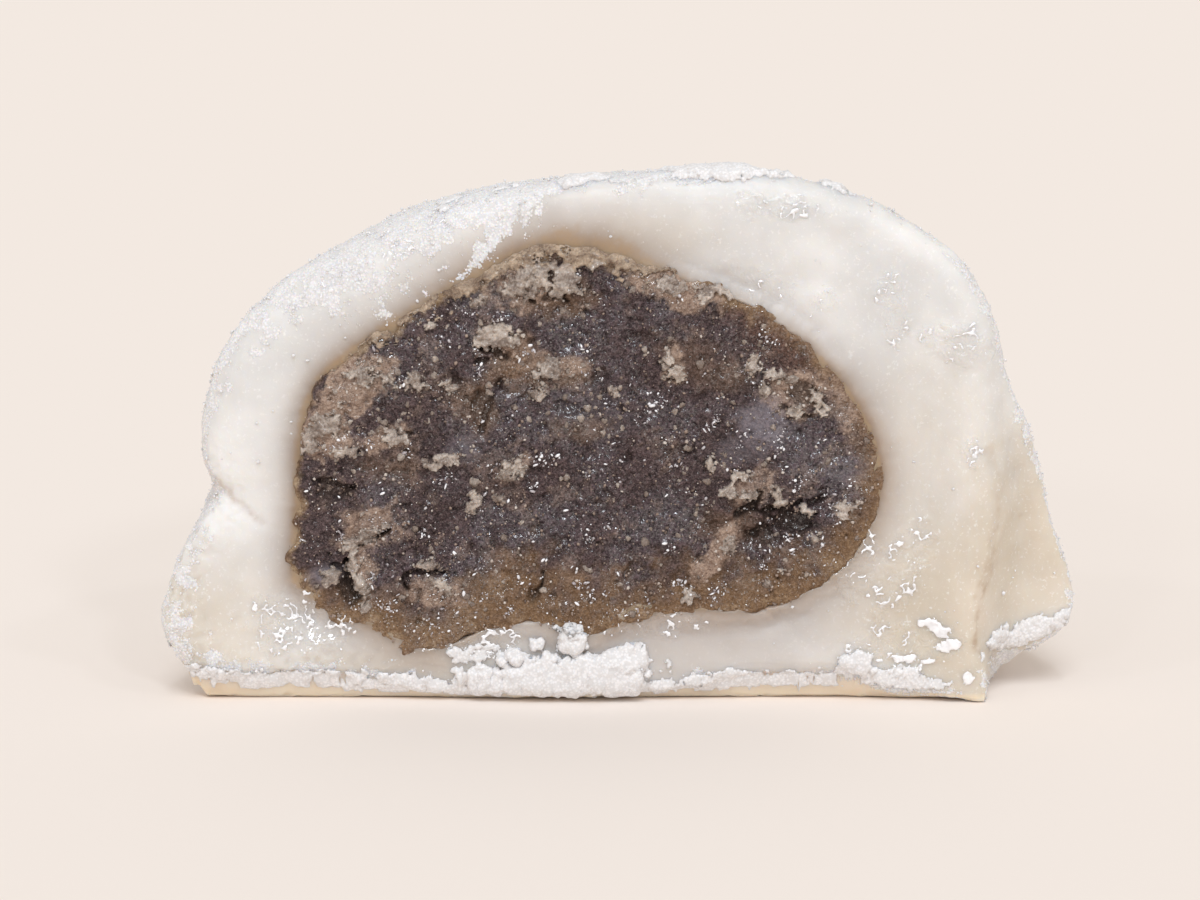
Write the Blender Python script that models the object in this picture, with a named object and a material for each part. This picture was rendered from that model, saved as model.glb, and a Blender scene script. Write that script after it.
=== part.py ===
"""Half of a round mochi rice cake: a skin of soft rice dough round a ball of sweet bean paste.

The cake was cut upright through its middle. The cut face looks along -Y, the rounded
back of the cake is at +Y, and the cake rests on its flat base at z = 0. Both pieces are
lofted from closed rings, which are worked out in polar form round the cake's core line.
"""

import math

import bmesh
import bpy
from mathutils import Vector, noise

# Driving dimensions, in metres.
CAKE_WIDTH = 0.0614
CAKE_HEIGHT = 0.0353
CAKE_DEPTH = 0.028
FILLING_DEPTH = 0.0212
FIT_GAP = 0.0003

# The core line meets the cut face here, as shares of the cake's width and height.
CORE_SHARE = (0.462, 0.476)

# The edge of the cut face, clockwise from the tip of the dough tail at the lower right.
# Each point is a share of the width from the left, and of the height from the table.
CUT_EDGE = (
    # the tail and the wavy lower edge
    (0.893, 0.000), (0.860, 0.024), (0.794, 0.033), (0.735, 0.056), (0.666, 0.054),
    (0.540, 0.033), (0.409, 0.022), (0.302, 0.031), (0.185, 0.044), (0.100, 0.043),
    # the slumped lower left corner, up to the nick in the side
    (0.040, 0.049), (0.010, 0.096), (0.000, 0.176), (0.019, 0.281), (0.052, 0.361),
    (0.066, 0.402), (0.052, 0.441),
    # the left shoulder and the top
    (0.051, 0.522), (0.060, 0.615), (0.090, 0.716), (0.153, 0.813), (0.238, 0.888),
    (0.335, 0.950), (0.485, 0.987), (0.633, 1.000), (0.730, 0.970), (0.801, 0.912),
    # the right shoulder, down the free edge of the flap to the tail
    (0.857, 0.846), (0.888, 0.758), (0.905, 0.655), (0.907, 0.550), (0.912, 0.450),
    (0.914, 0.360), (0.907, 0.270), (0.891, 0.185), (0.888, 0.105), (0.899, 0.040),
)
STEPS_PER_POINT = 3
ROUND_OFF = 1e-4

# The edge of the filling on the cut face, in the same shares.
FILLING_EDGE = (
    (0.153, 0.226), (0.150, 0.309), (0.155, 0.480), (0.172, 0.596), (0.217, 0.670),
    (0.356, 0.819), (0.409, 0.861), (0.462, 0.865), (0.537, 0.813), (0.666, 0.707),
    (0.719, 0.633), (0.756, 0.550), (0.775, 0.457), (0.770, 0.365), (0.741, 0.281),
    (0.686, 0.213), (0.623, 0.183), (0.548, 0.183), (0.506, 0.165), (0.457, 0.137),
    (0.420, 0.176), (0.366, 0.170), (0.291, 0.106), (0.249, 0.139),
)

# The lobe of dough squeezed out behind the flap: its edge, the middle of its face, and how
# far its face lies behind the cut, from its top down to its foot.
LOBE_EDGE = (
    (0.862, 0.800), (0.893, 0.735), (0.909, 0.645), (0.930, 0.545), (0.954, 0.435),
    (0.975, 0.315), (0.998, 0.215), (0.998, 0.140), (0.972, 0.085), (0.935, 0.060),
    (0.880, 0.072), (0.830, 0.120), (0.810, 0.350), (0.815, 0.620),
)
LOBE_MIDDLE = (0.895, 0.300)
LOBE_TOP, LOBE_FOOT = 0.62, 0.16
LOBE_SET_BACK_AT_TOP = 0.0004
LOBE_SET_BACK_AT_FOOT = 0.0036
LOBE_DEPTH = 0.019
LOBE_ROUNDING = 0.0012
LOBE_TUCK = 0.005
LOBE_FACE_SHARES = (0.45, 0.8)
LOBE_ANGLES = (14, 30, 46, 62, 76)

# How round the edge of the cut face is: (angle in degrees, radius in metres).
EDGE_ROUNDING = (
    (-180, 0.0016), (-150, 0.0014), (-90, 0.0008), (-45, 0.0006), (-33, 0.0004),
    (-26, 0.0005), (-12, 0.0009), (10, 0.0014), (45, 0.0022), (85, 0.0016),
    (112, 0.0028), (145, 0.0032), (170, 0.0022), (180, 0.0016),
)

# The dough round the filling on the cut face, and its rounded edge: the places of their rings.
WALL_SHARES = (0.22, 0.42, 0.62, 0.82)
ROUNDING_ANGLES = (35, 65, 90)

# Soft ridges and hollows of the cut face, from side to side down the flap and on the left:
# (share across, share up, half width across, half width up, how far back in metres).
FACE_FORMS = (
    (0.872, 0.35, 0.028, 0.34, -0.0011),
    (0.826, 0.35, 0.022, 0.30, 0.0006),
    (0.100, 0.58, 0.050, 0.16, -0.0005),
    (0.080, 0.38, 0.020, 0.03, 0.0005),
)

# The round body behind the cut: how far folds are smoothed out, and how square its back is.
SMOOTHING_TURNS = range(-20, 21, 4)
FOOT_SPREAD = 0.10
DOME_SQUARENESS = 2.35
BASE_SQUARENESS = 3.8
CORE_SINK = 0.0045
DOME_ANGLES = (9, 19, 30, 41, 52, 62, 71, 79, 85.5)
# How soon the cut edge has turned into the round body: (angle, share of the depth).
BODY_REACHED_AT = (
    (-180, 0.34), (-60, 0.30), (-36, 0.14), (-26, 0.14), (-5, 0.34), (180, 0.34),
)
DOUGH_SWELL = 0.0005
DOUGH_SWELL_PER_METRE = 95.0

# The filling: rings of its face and of its rounded back.
PASTE_FACE_SHARES = (0.17, 0.34, 0.51, 0.68, 0.84)
PASTE_LUMP = 0.00035
PASTE_LUMPS_PER_METRE = 330.0
PASTE_EDGE_INSET = 0.0006
PASTE_EDGE_DROP = 0.0004
PASTE_RECESS = 0.00015
PASTE_ANGLES = (16, 33, 50, 66, 80)
PASTE_SQUARENESS = 2.3


def from_table(table, angle):
    """The value of an (angle, value) table at an angle, eased between its entries."""
    for (start, low), (end, high) in zip(table, table[1:]):
        if start <= angle <= end:
            return low + (high - low) * eased((angle - start) / (end - start))
    return table[-1][1]


def eased(share):
    """A share from 0 to 1, slow at both ends."""
    share = min(1.0, max(0.0, share))
    return share * share * (3 - 2 * share)


def place(shares):
    """A place on the cut face, in metres from its lower left corner."""
    return Vector((shares[0] * CAKE_WIDTH, shares[1] * CAKE_HEIGHT))


def closed_curve(shares, middle, steps):
    """Points on a smooth closed curve through the shares, measured from a middle."""
    knots = [place(point) - place(middle) for point in shares]
    count = len(knots)
    points = []
    for i in range(count):
        before, start, end, after = (knots[(i + k - 1) % count] for k in range(4))
        for step in range(steps):
            t = step / steps
            points.append(
                0.5 * (
                    2 * start
                    + t * (end - before)
                    + t**2 * (2 * before - 5 * start + 4 * end - after)
                    + t**3 * (3 * start - before - 3 * end + after)
                )
            )
    return points


def angles_of(curve):
    return sorted(math.degrees(math.atan2(point.y, point.x)) for point in curve)


def reach_at(curve, angle):
    """How far a closed curve reaches from the middle in the direction of an angle."""
    ray = Vector((math.cos(math.radians(angle)), math.sin(math.radians(angle))))
    reach = 0.0
    for start, end in zip(curve, curve[1:] + curve[:1]):
        side = end - start
        across = ray.x * side.y - ray.y * side.x
        if across == 0:
            continue
        along_ray = (start.x * side.y - start.y * side.x) / across
        along_side = (start.x * ray.y - start.y * ray.x) / across
        if -ROUND_OFF <= along_side <= 1 + ROUND_OFF:
            reach = max(reach, along_ray)
    return reach


def turned(middle, angle, reach, back, rise=None):
    """A point of the cake at an angle and a reach round a middle line, and at a depth."""
    centre = place(middle)
    x = centre.x + reach * math.cos(math.radians(angle))
    z = centre.y + (reach if rise is None else rise) * math.sin(math.radians(angle))
    return Vector((x, back, z))


def dome_share(tilt, squareness):
    """(how far back, how wide) a rounded back is at a tilt, as shares of its full size."""
    power = 2 / squareness
    return math.sin(math.radians(tilt)) ** power, math.cos(math.radians(tilt)) ** power


def face_depth(x, z):
    """How far back the dough lies on the cut face, from its soft ridges and hollows."""
    across, up = x / CAKE_WIDTH, z / CAKE_HEIGHT
    return sum(
        back * math.exp(-(((across - middle_x) / wide) ** 2) - ((up - middle_z) / high) ** 2)
        for middle_x, middle_z, wide, high, back in FACE_FORMS
    )


def lobe_depth(x, z):
    """How far back the face of the lobe lies: it leans away from the cut towards its foot."""
    lean = eased((LOBE_TOP - z / CAKE_HEIGHT) / (LOBE_TOP - LOBE_FOOT))
    return LOBE_SET_BACK_AT_TOP + (LOBE_SET_BACK_AT_FOOT - LOBE_SET_BACK_AT_TOP) * lean


def face_ring(middle, angles, reaches, depth_at, further_back=None):
    """A ring of points on a cut face, whose depth depth_at gives for each place."""
    ring = [turned(middle, angle, reach, 0.0) for angle, reach in zip(angles, reaches)]
    for i, point in enumerate(ring):
        point.y = depth_at(point.x, point.z) + (further_back[i] if further_back else 0.0)
    return ring


def rounded_edge(middle, angles, reaches, radii, depth_at):
    """The rings that turn a cut face into the outside of the dough, from its edge inwards."""
    rings = []
    for turn in (0, *ROUNDING_ANGLES):
        short = [radius * (1 - math.sin(math.radians(turn))) for radius in radii]
        further_back = [radius * (1 - math.cos(math.radians(turn))) for radius in radii]
        at_turn = [reach - less for reach, less in zip(reaches, short)]
        rings.append(face_ring(middle, angles, at_turn, depth_at, further_back))
    return rings


def dough_rings(angles, cut_edge, filling_edge, body):
    """The skin's rings, from the deepest point of its pocket to the back of the cake."""
    rings = [paste_ring(angles, filling_edge, tilt, FIT_GAP) for tilt in reversed(PASTE_ANGLES)]

    mouth = [reach + FIT_GAP for reach in filling_edge]
    radii = [from_table(EDGE_ROUNDING, angle) for angle in angles]
    for share in (0.0, *WALL_SHARES):
        reaches = [
            low + (high - radius - low) * share
            for low, high, radius in zip(mouth, cut_edge, radii)
        ]
        rings.append(face_ring(CORE_SHARE, angles, reaches, face_depth))
    rings += rounded_edge(CORE_SHARE, angles, cut_edge, radii, face_depth)

    edge = rings[-1]
    for tilt in DOME_ANGLES:
        rings.append([
            dome_point(angle, cut_reach, round_reach, tilt, point.y)
            for angle, cut_reach, round_reach, point in zip(angles, cut_edge, body, edge)
        ])
    return rings


def body_reach(curves, angle):
    """How far the round body lies from the core line: the curves with their folds smoothed away."""
    turns = [angle + turn for turn in SMOOTHING_TURNS]
    smooth = sum(max(reach_at(curve, turn) for curve in curves) for turn in turns) / len(turns)
    return smooth * (1 + FOOT_SPREAD * eased(-math.sin(math.radians(angle)) / 0.7))


def dome_point(angle, cut_reach, round_reach, tilt, edge_depth):
    """A point of the skin's outside, which turns from the cut edge into the round body."""
    back, width = dome_share(tilt, DOME_SQUARENESS)
    blend = eased(back / from_table(BODY_REACHED_AT, angle))
    reach = cut_reach + (round_reach - cut_reach) * blend
    foot_width = (1 - back**BASE_SQUARENESS) ** (1 / BASE_SQUARENESS)
    rise = reach * (width if angle > 0 else foot_width)
    depth = edge_depth + (CAKE_DEPTH - edge_depth) * back
    point = turned(CORE_SHARE, angle, reach * width, depth, rise)
    point.z -= CORE_SINK * back**2
    core = turned(CORE_SHARE, 0, 0, depth)
    swell = DOUGH_SWELL * blend * noise.noise(point * DOUGH_SWELL_PER_METRE)
    point += (point - core).normalized() * swell
    point.z = max(point.z, 0.0)
    return point


def lobe_rings(angles, edge):
    """The lobe's rings, from the middle of its face to its back, which is tucked into the body."""
    radii = [LOBE_ROUNDING] * len(angles)
    rings = []
    for share in LOBE_FACE_SHARES:
        reaches = [(reach - LOBE_ROUNDING) * share for reach in edge]
        rings.append(face_ring(LOBE_MIDDLE, angles, reaches, lobe_depth))
    rings += rounded_edge(LOBE_MIDDLE, angles, edge, radii, lobe_depth)

    rim = rings[-1]
    for tilt in LOBE_ANGLES:
        back, width = dome_share(tilt, DOME_SQUARENESS)
        ring = [
            turned(LOBE_MIDDLE, angle, reach * width, point.y + (LOBE_DEPTH - point.y) * back)
            for angle, reach, point in zip(angles, edge, rim)
        ]
        for point in ring:
            point.x -= LOBE_TUCK * back**2
        rings.append(ring)
    return rings


def paste_ring(angles, filling_edge, tilt, grow=0.0):
    """A ring of the filling's rounded back, or of the pocket that it lies in."""
    back, width = dome_share(tilt, PASTE_SQUARENESS)
    return [
        turned(CORE_SHARE, angle, reach * width + grow, (FILLING_DEPTH + grow) * back)
        for angle, reach in zip(angles, filling_edge)
    ]


def paste_face_ring(angles, reaches, share, drop):
    """A ring of the filling's cut face, which is lumpy, but level with the dough at its rim."""
    ring = face_ring(CORE_SHARE, angles, reaches, face_depth)
    flatness = eased((1 - share) / 0.2)
    for point in ring:
        lumps = PASTE_LUMP * noise.noise(point * PASTE_LUMPS_PER_METRE)
        point.y = point.y * share + lumps * flatness + PASTE_RECESS + drop
    return ring


def paste_rings(angles, filling_edge):
    """The filling's rings, from the middle of its cut face to its back."""
    rings = []
    for share in PASTE_FACE_SHARES:
        reaches = [reach * share for reach in filling_edge]
        rings.append(paste_face_ring(angles, reaches, share, 0.0))
    inset = [reach - PASTE_EDGE_INSET for reach in filling_edge]
    rings.append(paste_face_ring(angles, inset, 1.0, 0.0))
    rings.append(paste_face_ring(angles, filling_edge, 1.0, PASTE_EDGE_DROP))
    rings += [paste_ring(angles, filling_edge, tilt) for tilt in PASTE_ANGLES]
    return rings


def loft(name, first_pole, rings, last_pole):
    """A closed mesh through the rings, joined corner to corner and closed at two poles."""
    bm = bmesh.new()
    loops = [[bm.verts.new(point) for point in ring] for ring in rings]
    sides = range(len(rings[0]))
    for start, end in zip(loops, loops[1:]):
        for i in sides:
            bm.faces.new((start[i - 1], start[i], end[i], end[i - 1]))
    for loop, pole in ((loops[0], first_pole), (loops[-1], last_pole)):
        tip = bm.verts.new(pole)
        for i in sides:
            bm.faces.new((loop[i - 1], loop[i], tip))
    bmesh.ops.recalc_face_normals(bm, faces=bm.faces)
    mesh = bpy.data.meshes.new(name)
    bm.to_mesh(mesh)
    bm.free()
    mesh.shade_smooth()
    return mesh


def finish_material(name, colour, roughness, subsurface):
    """A soft, slightly see-through food material."""
    material = bpy.data.materials.new(name)
    material.use_nodes = True
    shader = material.node_tree.nodes["Principled BSDF"]
    shader.inputs["Base Color"].default_value = (*colour, 1.0)
    shader.inputs["Roughness"].default_value = roughness
    shader.inputs["Metallic"].default_value = 0.0
    shader.inputs["Subsurface Weight"].default_value = subsurface
    shader.inputs["Subsurface Scale"].default_value = 0.002
    return material


def add_piece(name, mesh, material):
    mesh.materials.append(material)
    piece = bpy.data.objects.new(name, mesh)
    bpy.context.scene.collection.objects.link(piece)
    return piece


def add_skin(angles, edge_curve, cut_edge, filling_edge, dough):
    """The skin's main body, with its flap and tail in front and its pocket for the filling."""
    lobe_curve = closed_curve(LOBE_EDGE, CORE_SHARE, STEPS_PER_POINT)
    body = [body_reach((edge_curve, lobe_curve), angle) for angle in angles]
    rings = dough_rings(angles, cut_edge, filling_edge, body)
    pocket_end = turned(CORE_SHARE, 0, 0, FILLING_DEPTH + FIT_GAP)
    cake_back = turned(CORE_SHARE, 0, 0, CAKE_DEPTH)
    cake_back.z -= CORE_SINK
    return add_piece("dough_skin", loft("dough_skin", pocket_end, rings, cake_back), dough)


def add_lobe(dough):
    """The lobe behind the flap, which becomes one with the skin."""
    curve = closed_curve(LOBE_EDGE, LOBE_MIDDLE, STEPS_PER_POINT)
    angles = angles_of(curve)
    edge = [reach_at(curve, angle) for angle in angles]
    middle = place(LOBE_MIDDLE)
    face_middle = turned(LOBE_MIDDLE, 0, 0, lobe_depth(middle.x, middle.y))
    lobe_back = turned(LOBE_MIDDLE, 0, 0, LOBE_DEPTH)
    lobe_back.x -= LOBE_TUCK
    mesh = loft("dough_lobe", face_middle, lobe_rings(angles, edge), lobe_back)
    lobe = add_piece("dough_lobe", mesh, dough)
    lobe.display_type = "WIRE"
    lobe.hide_render = True
    return lobe


def add_filling(angles, filling_edge, paste):
    """The ball of bean paste, cut through with the skin."""
    face_middle = paste_face_ring((0,), (0,), 0.0, 0.0)[0]
    paste_back = turned(CORE_SHARE, 0, 0, FILLING_DEPTH)
    rings = paste_rings(angles, filling_edge)
    return add_piece("bean_paste", loft("bean_paste", face_middle, rings, paste_back), paste)


def stand_on_origin(pieces):
    """Moves the pieces so that the origin is under the middle of their footprint."""
    points = [vertex.co for piece in pieces for vertex in piece.data.vertices]
    middle_x, middle_y = (
        (min(point[axis] for point in points) + max(point[axis] for point in points)) / 2
        for axis in (0, 1)
    )
    for piece in pieces:
        piece.location = (-middle_x, -middle_y, 0.0)


def build():
    for old in list(bpy.data.objects):
        bpy.data.objects.remove(old)

    edge_curve = closed_curve(CUT_EDGE, CORE_SHARE, STEPS_PER_POINT)
    filling_curve = closed_curve(FILLING_EDGE, CORE_SHARE, STEPS_PER_POINT)
    angles = angles_of(edge_curve)
    cut_edge = [reach_at(edge_curve, angle) for angle in angles]
    filling_edge = [reach_at(filling_curve, angle) for angle in angles]

    dough = finish_material("rice_dough", (0.80, 0.76, 0.70), 0.35, 0.8)
    paste = finish_material("bean_paste", (0.11, 0.078, 0.072), 0.6, 0.1)
    skin = add_skin(angles, edge_curve, cut_edge, filling_edge, dough)
    lobe = add_lobe(dough)
    filling = add_filling(angles, filling_edge, paste)
    stand_on_origin([skin, lobe, filling])

    joined = skin.modifiers.new("lobe", "BOOLEAN")
    joined.operation = "UNION"
    joined.object = lobe


build()
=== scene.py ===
import math

import bmesh
import bpy
import numpy as np
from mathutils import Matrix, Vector, noise
from mathutils.bvhtree import BVHTree
from mathutils.kdtree import KDTree


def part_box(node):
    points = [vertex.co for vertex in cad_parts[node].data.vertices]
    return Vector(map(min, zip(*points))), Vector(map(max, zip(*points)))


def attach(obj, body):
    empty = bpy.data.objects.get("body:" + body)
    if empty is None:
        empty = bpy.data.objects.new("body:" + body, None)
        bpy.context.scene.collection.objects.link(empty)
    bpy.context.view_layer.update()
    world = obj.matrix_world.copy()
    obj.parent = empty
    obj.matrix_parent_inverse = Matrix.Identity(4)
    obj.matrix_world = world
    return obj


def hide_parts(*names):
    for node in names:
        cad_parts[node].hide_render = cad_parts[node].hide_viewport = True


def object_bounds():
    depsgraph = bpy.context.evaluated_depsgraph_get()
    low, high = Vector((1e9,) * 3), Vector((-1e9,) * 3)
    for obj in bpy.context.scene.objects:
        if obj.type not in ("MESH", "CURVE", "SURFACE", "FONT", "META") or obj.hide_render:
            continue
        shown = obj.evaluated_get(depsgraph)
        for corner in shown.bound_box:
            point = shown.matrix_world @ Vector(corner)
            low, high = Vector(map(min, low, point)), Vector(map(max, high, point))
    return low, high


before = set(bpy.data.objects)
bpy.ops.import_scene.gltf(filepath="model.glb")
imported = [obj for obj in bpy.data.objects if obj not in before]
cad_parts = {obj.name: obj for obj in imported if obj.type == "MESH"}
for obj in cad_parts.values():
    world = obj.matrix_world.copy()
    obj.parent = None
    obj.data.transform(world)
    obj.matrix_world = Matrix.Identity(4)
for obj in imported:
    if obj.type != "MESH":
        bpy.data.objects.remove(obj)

# The whole cake half rests on its flat base with the cut face towards -Y. Places on the cut face
# are shares of the cake's width and height, and small sizes are in millimetres.
MM = 0.001
cake_low, cake_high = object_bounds()
CAKE_WIDTH = cake_high.x - cake_low.x
CAKE_HEIGHT = cake_high.z - cake_low.z
CUT_FACE_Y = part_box("bean_paste")[0].y
CORE = (0.462, 0.476)


def on_cut_face(across, up):
    """A point of the cut face's plane."""
    return Vector((cake_low.x + across * CAKE_WIDTH, CUT_FACE_Y, cake_low.z + up * CAKE_HEIGHT))


# The camera looks at the middle of the cut face from a little above, through a long lens. Its
# distance is in widths of the cake.
CAMERA_HEIGHT_ANGLE = math.radians(10)
CAMERA_DISTANCE = 3.54
look_at = on_cut_face(0.476, 0.487)
look_at.y = cake_low.y
towards_camera = Vector((0, -math.cos(CAMERA_HEIGHT_ANGLE), math.sin(CAMERA_HEIGHT_ANGLE)))
camera_data = bpy.data.cameras.new("camera")
camera_data.lens = 100
camera_data.sensor_width = 36
camera_data.clip_start = 0.01
camera = bpy.data.objects.new("camera", camera_data)
camera.location = look_at + towards_camera * CAMERA_DISTANCE * CAKE_WIDTH
camera.rotation_euler = (-towards_camera).to_track_quat("-Z", "Y").to_euler()
bpy.context.scene.collection.objects.link(camera)
bpy.context.scene.camera = camera


# The filling is a ball of sweet red bean paste, cooked down until it holds its shape. The knife
# has dragged and torn it, so the cut is crumbly and dark, and paler where it has dried.
PASTE_GRAIN = 0.36


def new_piece(name, bm):
    """A new piece of the scene with the shape of a bmesh, which is freed."""
    mesh = bpy.data.meshes.new(name)
    bm.to_mesh(mesh)
    bm.free()
    piece = bpy.data.objects.new(name, mesh)
    bpy.context.scene.collection.objects.link(piece)
    return piece


def merged_copy(node, name):
    """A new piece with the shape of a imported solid, its loose triangles joined."""
    bm = bmesh.new()
    bm.from_mesh(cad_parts[node].data)
    bmesh.ops.remove_doubles(bm, verts=bm.verts, dist=1e-6)
    return new_piece(name, bm)


def evened(piece, grain, rounds):
    """Gives a piece one even skin of small faces, this many millimetres wide, softly rounded."""
    rounding = piece.modifiers.new("rounding", "SUBSURF")
    rounding.levels = rounding.render_levels = 1
    even = piece.modifiers.new("even", "REMESH")
    even.mode = "VOXEL"
    even.voxel_size = grain * MM
    soften = piece.modifiers.new("soften", "SMOOTH")
    soften.factor = 0.5
    soften.iterations = rounds
    bake_modifiers(piece)


def bake_modifiers(piece):
    bpy.context.view_layer.update()
    shown = piece.evaluated_get(bpy.context.evaluated_depsgraph_get())
    mesh = bpy.data.meshes.new_from_object(shown)
    piece.modifiers.clear()
    piece.data = mesh
    mesh.shade_smooth()


def finer(piece, cuts, chosen):
    """Divides the chosen faces of a piece further. chosen is a test of a face's middle and normal."""
    bm = bmesh.new()
    bm.from_mesh(piece.data)
    bm.normal_update()
    edges = {e for f in bm.faces if chosen(f.calc_center_median(), f.normal) for e in f.edges}
    bmesh.ops.subdivide_edges(bm, edges=list(edges), cuts=cuts, use_grid_fill=True, smooth=0.0)
    bmesh.ops.triangulate(bm, faces=[f for f in bm.faces if len(f.verts) > 4])
    bm.to_mesh(piece.data)
    bm.free()
    piece.data.shade_smooth()


def points_of(piece):
    """Where a piece's vertices are and which way each one faces, as two tables."""
    places = np.empty(len(piece.data.vertices) * 3, np.float32)
    facing = np.empty(len(piece.data.vertices) * 3, np.float32)
    piece.data.vertices.foreach_get("co", places)
    piece.data.vertices.foreach_get("normal", facing)
    return places.reshape(-1, 3).astype(float), facing.reshape(-1, 3).astype(float)


def move_points(piece, places):
    piece.data.vertices.foreach_set("co", places.astype(np.float32).ravel())
    piece.data.update()


def note_on(piece, name, values):
    """Keeps a value for each vertex on a piece, for its material to read."""
    piece.data.attributes.new(name, "FLOAT", "POINT").data.foreach_set("value", values.astype(np.float32))


def soft_step(low, high, value):
    share = np.clip((value - low) / (high - low), 0.0, 1.0)
    return share * share * (3.0 - 2.0 * share)


def swells(places, size, seed, octaves=1):
    """Soft random swells about this many millimetres wide, from -1 to 1, at each place."""
    shift = Vector((seed * 7.13, seed * 3.71, seed * 5.37))
    scale = 1.0 / (size * MM)
    return np.array([1.6 * noise.fractal(Vector(p) * scale + shift, 1.0, 2.0, octaves) for p in places])


def crumbs_over(places, size, seed):
    """Packed crumbs about this many millimetres wide: 1 on top of a crumb and 0 in the gaps, and
    the middle of the crumb that each place is part of."""
    shift = Vector((seed * 2.93, seed * 8.17, seed * 4.41))
    scale = 1.0 / (size * MM)
    found = [noise.voronoi(Vector(p) * scale + shift) for p in places]
    tops = np.clip([distances[1] - distances[0] for distances, _ in found], 0.0, 1.0)
    return tops, (np.array([middles[0] for _, middles in found]) - np.array(shift)) / scale


def shaken(places, size, seed):
    """The places, each moved a little and at random, so that what is drawn on them comes out uneven."""
    moves = [swells(places, size, seed + step, 2) for step in range(3)]
    return places + np.stack(moves, axis=1) * (0.25 * size * MM)


def nearest_distance(places, others):
    """How far each place is from the nearest of the others across the cut face, in millimetres."""
    tree = KDTree(len(others))
    for index, (x, _, z) in enumerate(others):
        tree.insert((x, 0.0, z), index)
    tree.balance()
    return np.array([tree.find((x, 0.0, z))[2] for x, _, z in places]) / MM


def oval(places, across, up, half_width, half_height, turn=0.0, ragged=0.0, soft=0.25):
    """1 inside an oval patch of the cut face and 0 outside. Its half sizes are in millimetres."""
    middle = on_cut_face(across, up)
    x = (places[:, 0] - middle.x) / MM
    z = (places[:, 2] - middle.z) / MM
    cosine, sine = math.cos(math.radians(turn)), math.sin(math.radians(turn))
    along = (x * cosine + z * sine) / half_width
    over = (z * cosine - x * sine) / half_height
    return soft_step(1.0 + soft, 1.0 - soft, np.hypot(along, over) + ragged)


def patched(places, areas, ragged, soft):
    """The strongest of a list's oval patches at each place. Each area ends with its strength."""
    found = np.zeros(len(places))
    for across, up, half_width, half_height, turn, strength in areas:
        patch = oval(places, across, up, half_width, half_height, turn, ragged, soft)
        found = np.maximum(found, strength * patch)
    return found


def line_distance(places, route):
    """How far each place is from a line drawn on the cut face, in millimetres."""
    best = np.full(len(places), 1e9)
    at = places[:, [0, 2]]
    corners = [on_cut_face(*point) for point in route]
    for first, second in zip(corners, corners[1:]):
        start = np.array((first.x, first.z))
        run = np.array((second.x, second.z)) - start
        share = np.clip((at - start) @ run / (run @ run), 0.0, 1.0)
        best = np.minimum(best, np.linalg.norm(at - start - share[:, None] * run, axis=1))
    return best / MM


def round_core(places):
    """Which way each place lies from the core of the paste, and at what angle: 0 is to the right
    and 90 is up."""
    outward = places - np.array(on_cut_face(*CORE))
    outward[:, 1] = 0.0
    outward /= np.maximum(np.linalg.norm(outward, axis=1), 1e-6)[:, None]
    return outward, np.degrees(np.arctan2(outward[:, 2], outward[:, 0])) % 360


def by_angle(angle, stops):
    """A value that changes round the core, from a list of angles and values."""
    return np.interp(angle, *zip(*stops))


def behind_face(places):
    """How far behind the plane of the cut each place is, in millimetres."""
    return (places[:, 1] - CUT_FACE_Y) / MM


def off_board(places):
    return (places[:, 2] - cake_low.z) / MM


def is_cut_face(middle, normal):
    return normal.y < -0.4 and middle.y < CUT_FACE_Y + 5 * MM


paste = merged_copy("bean_paste", "bean_paste_core")
evened(paste, PASTE_GRAIN, 2)
finer(paste, 2, is_cut_face)
places, facing = points_of(paste)
on_face = soft_step(0.35, 0.75, -facing[:, 1]) * (places[:, 1] < CUT_FACE_Y + 3 * MM)
paste_wall = places[(facing[:, 1] > -0.6) & (places[:, 1] < CUT_FACE_Y + 2.5 * MM)]
from_rim = nearest_distance(places, paste_wall)
paste_face = places[on_face > 0.5]

outward, angle = round_core(places)
growth = np.where(on_face > 0.5, soft_step(3.5, 0.0, from_rim), 1.0)
torn_rim = soft_step(40, 75, angle) * soft_step(235, 205, angle)
growth *= 1.0 + (0.25 + 0.25 * torn_rim) * swells(places, 1.5, 7, 3)
# How far the torn paste swells out past its cut edge, in millimetres, by the angle round the core.
PASTE_GROWTH = [
    (0, 0.7), (28, 0.8), (40, 1.15), (60, 1.1), (72, 0.6), (90, 0.45), (120, 0.5), (150, 0.5), (180, 0.6),
    (200, 0.8), (220, 1.3), (235, 1.6), (260, 1.6), (276, 1.4), (290, 1.0), (318, 1.0), (330, 1.2),
    (344, 1.1), (354, 0.8), (360, 0.7),
]
places += outward * (growth * by_angle(angle, PASTE_GROWTH) * MM)[:, None]
behind = behind_face(places)
squared = soft_step(0.9, 0.4, behind)
on_face = np.maximum(on_face, squared)
places[:, 1] = CUT_FACE_Y + behind * (1.0 - squared) * MM

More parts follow.
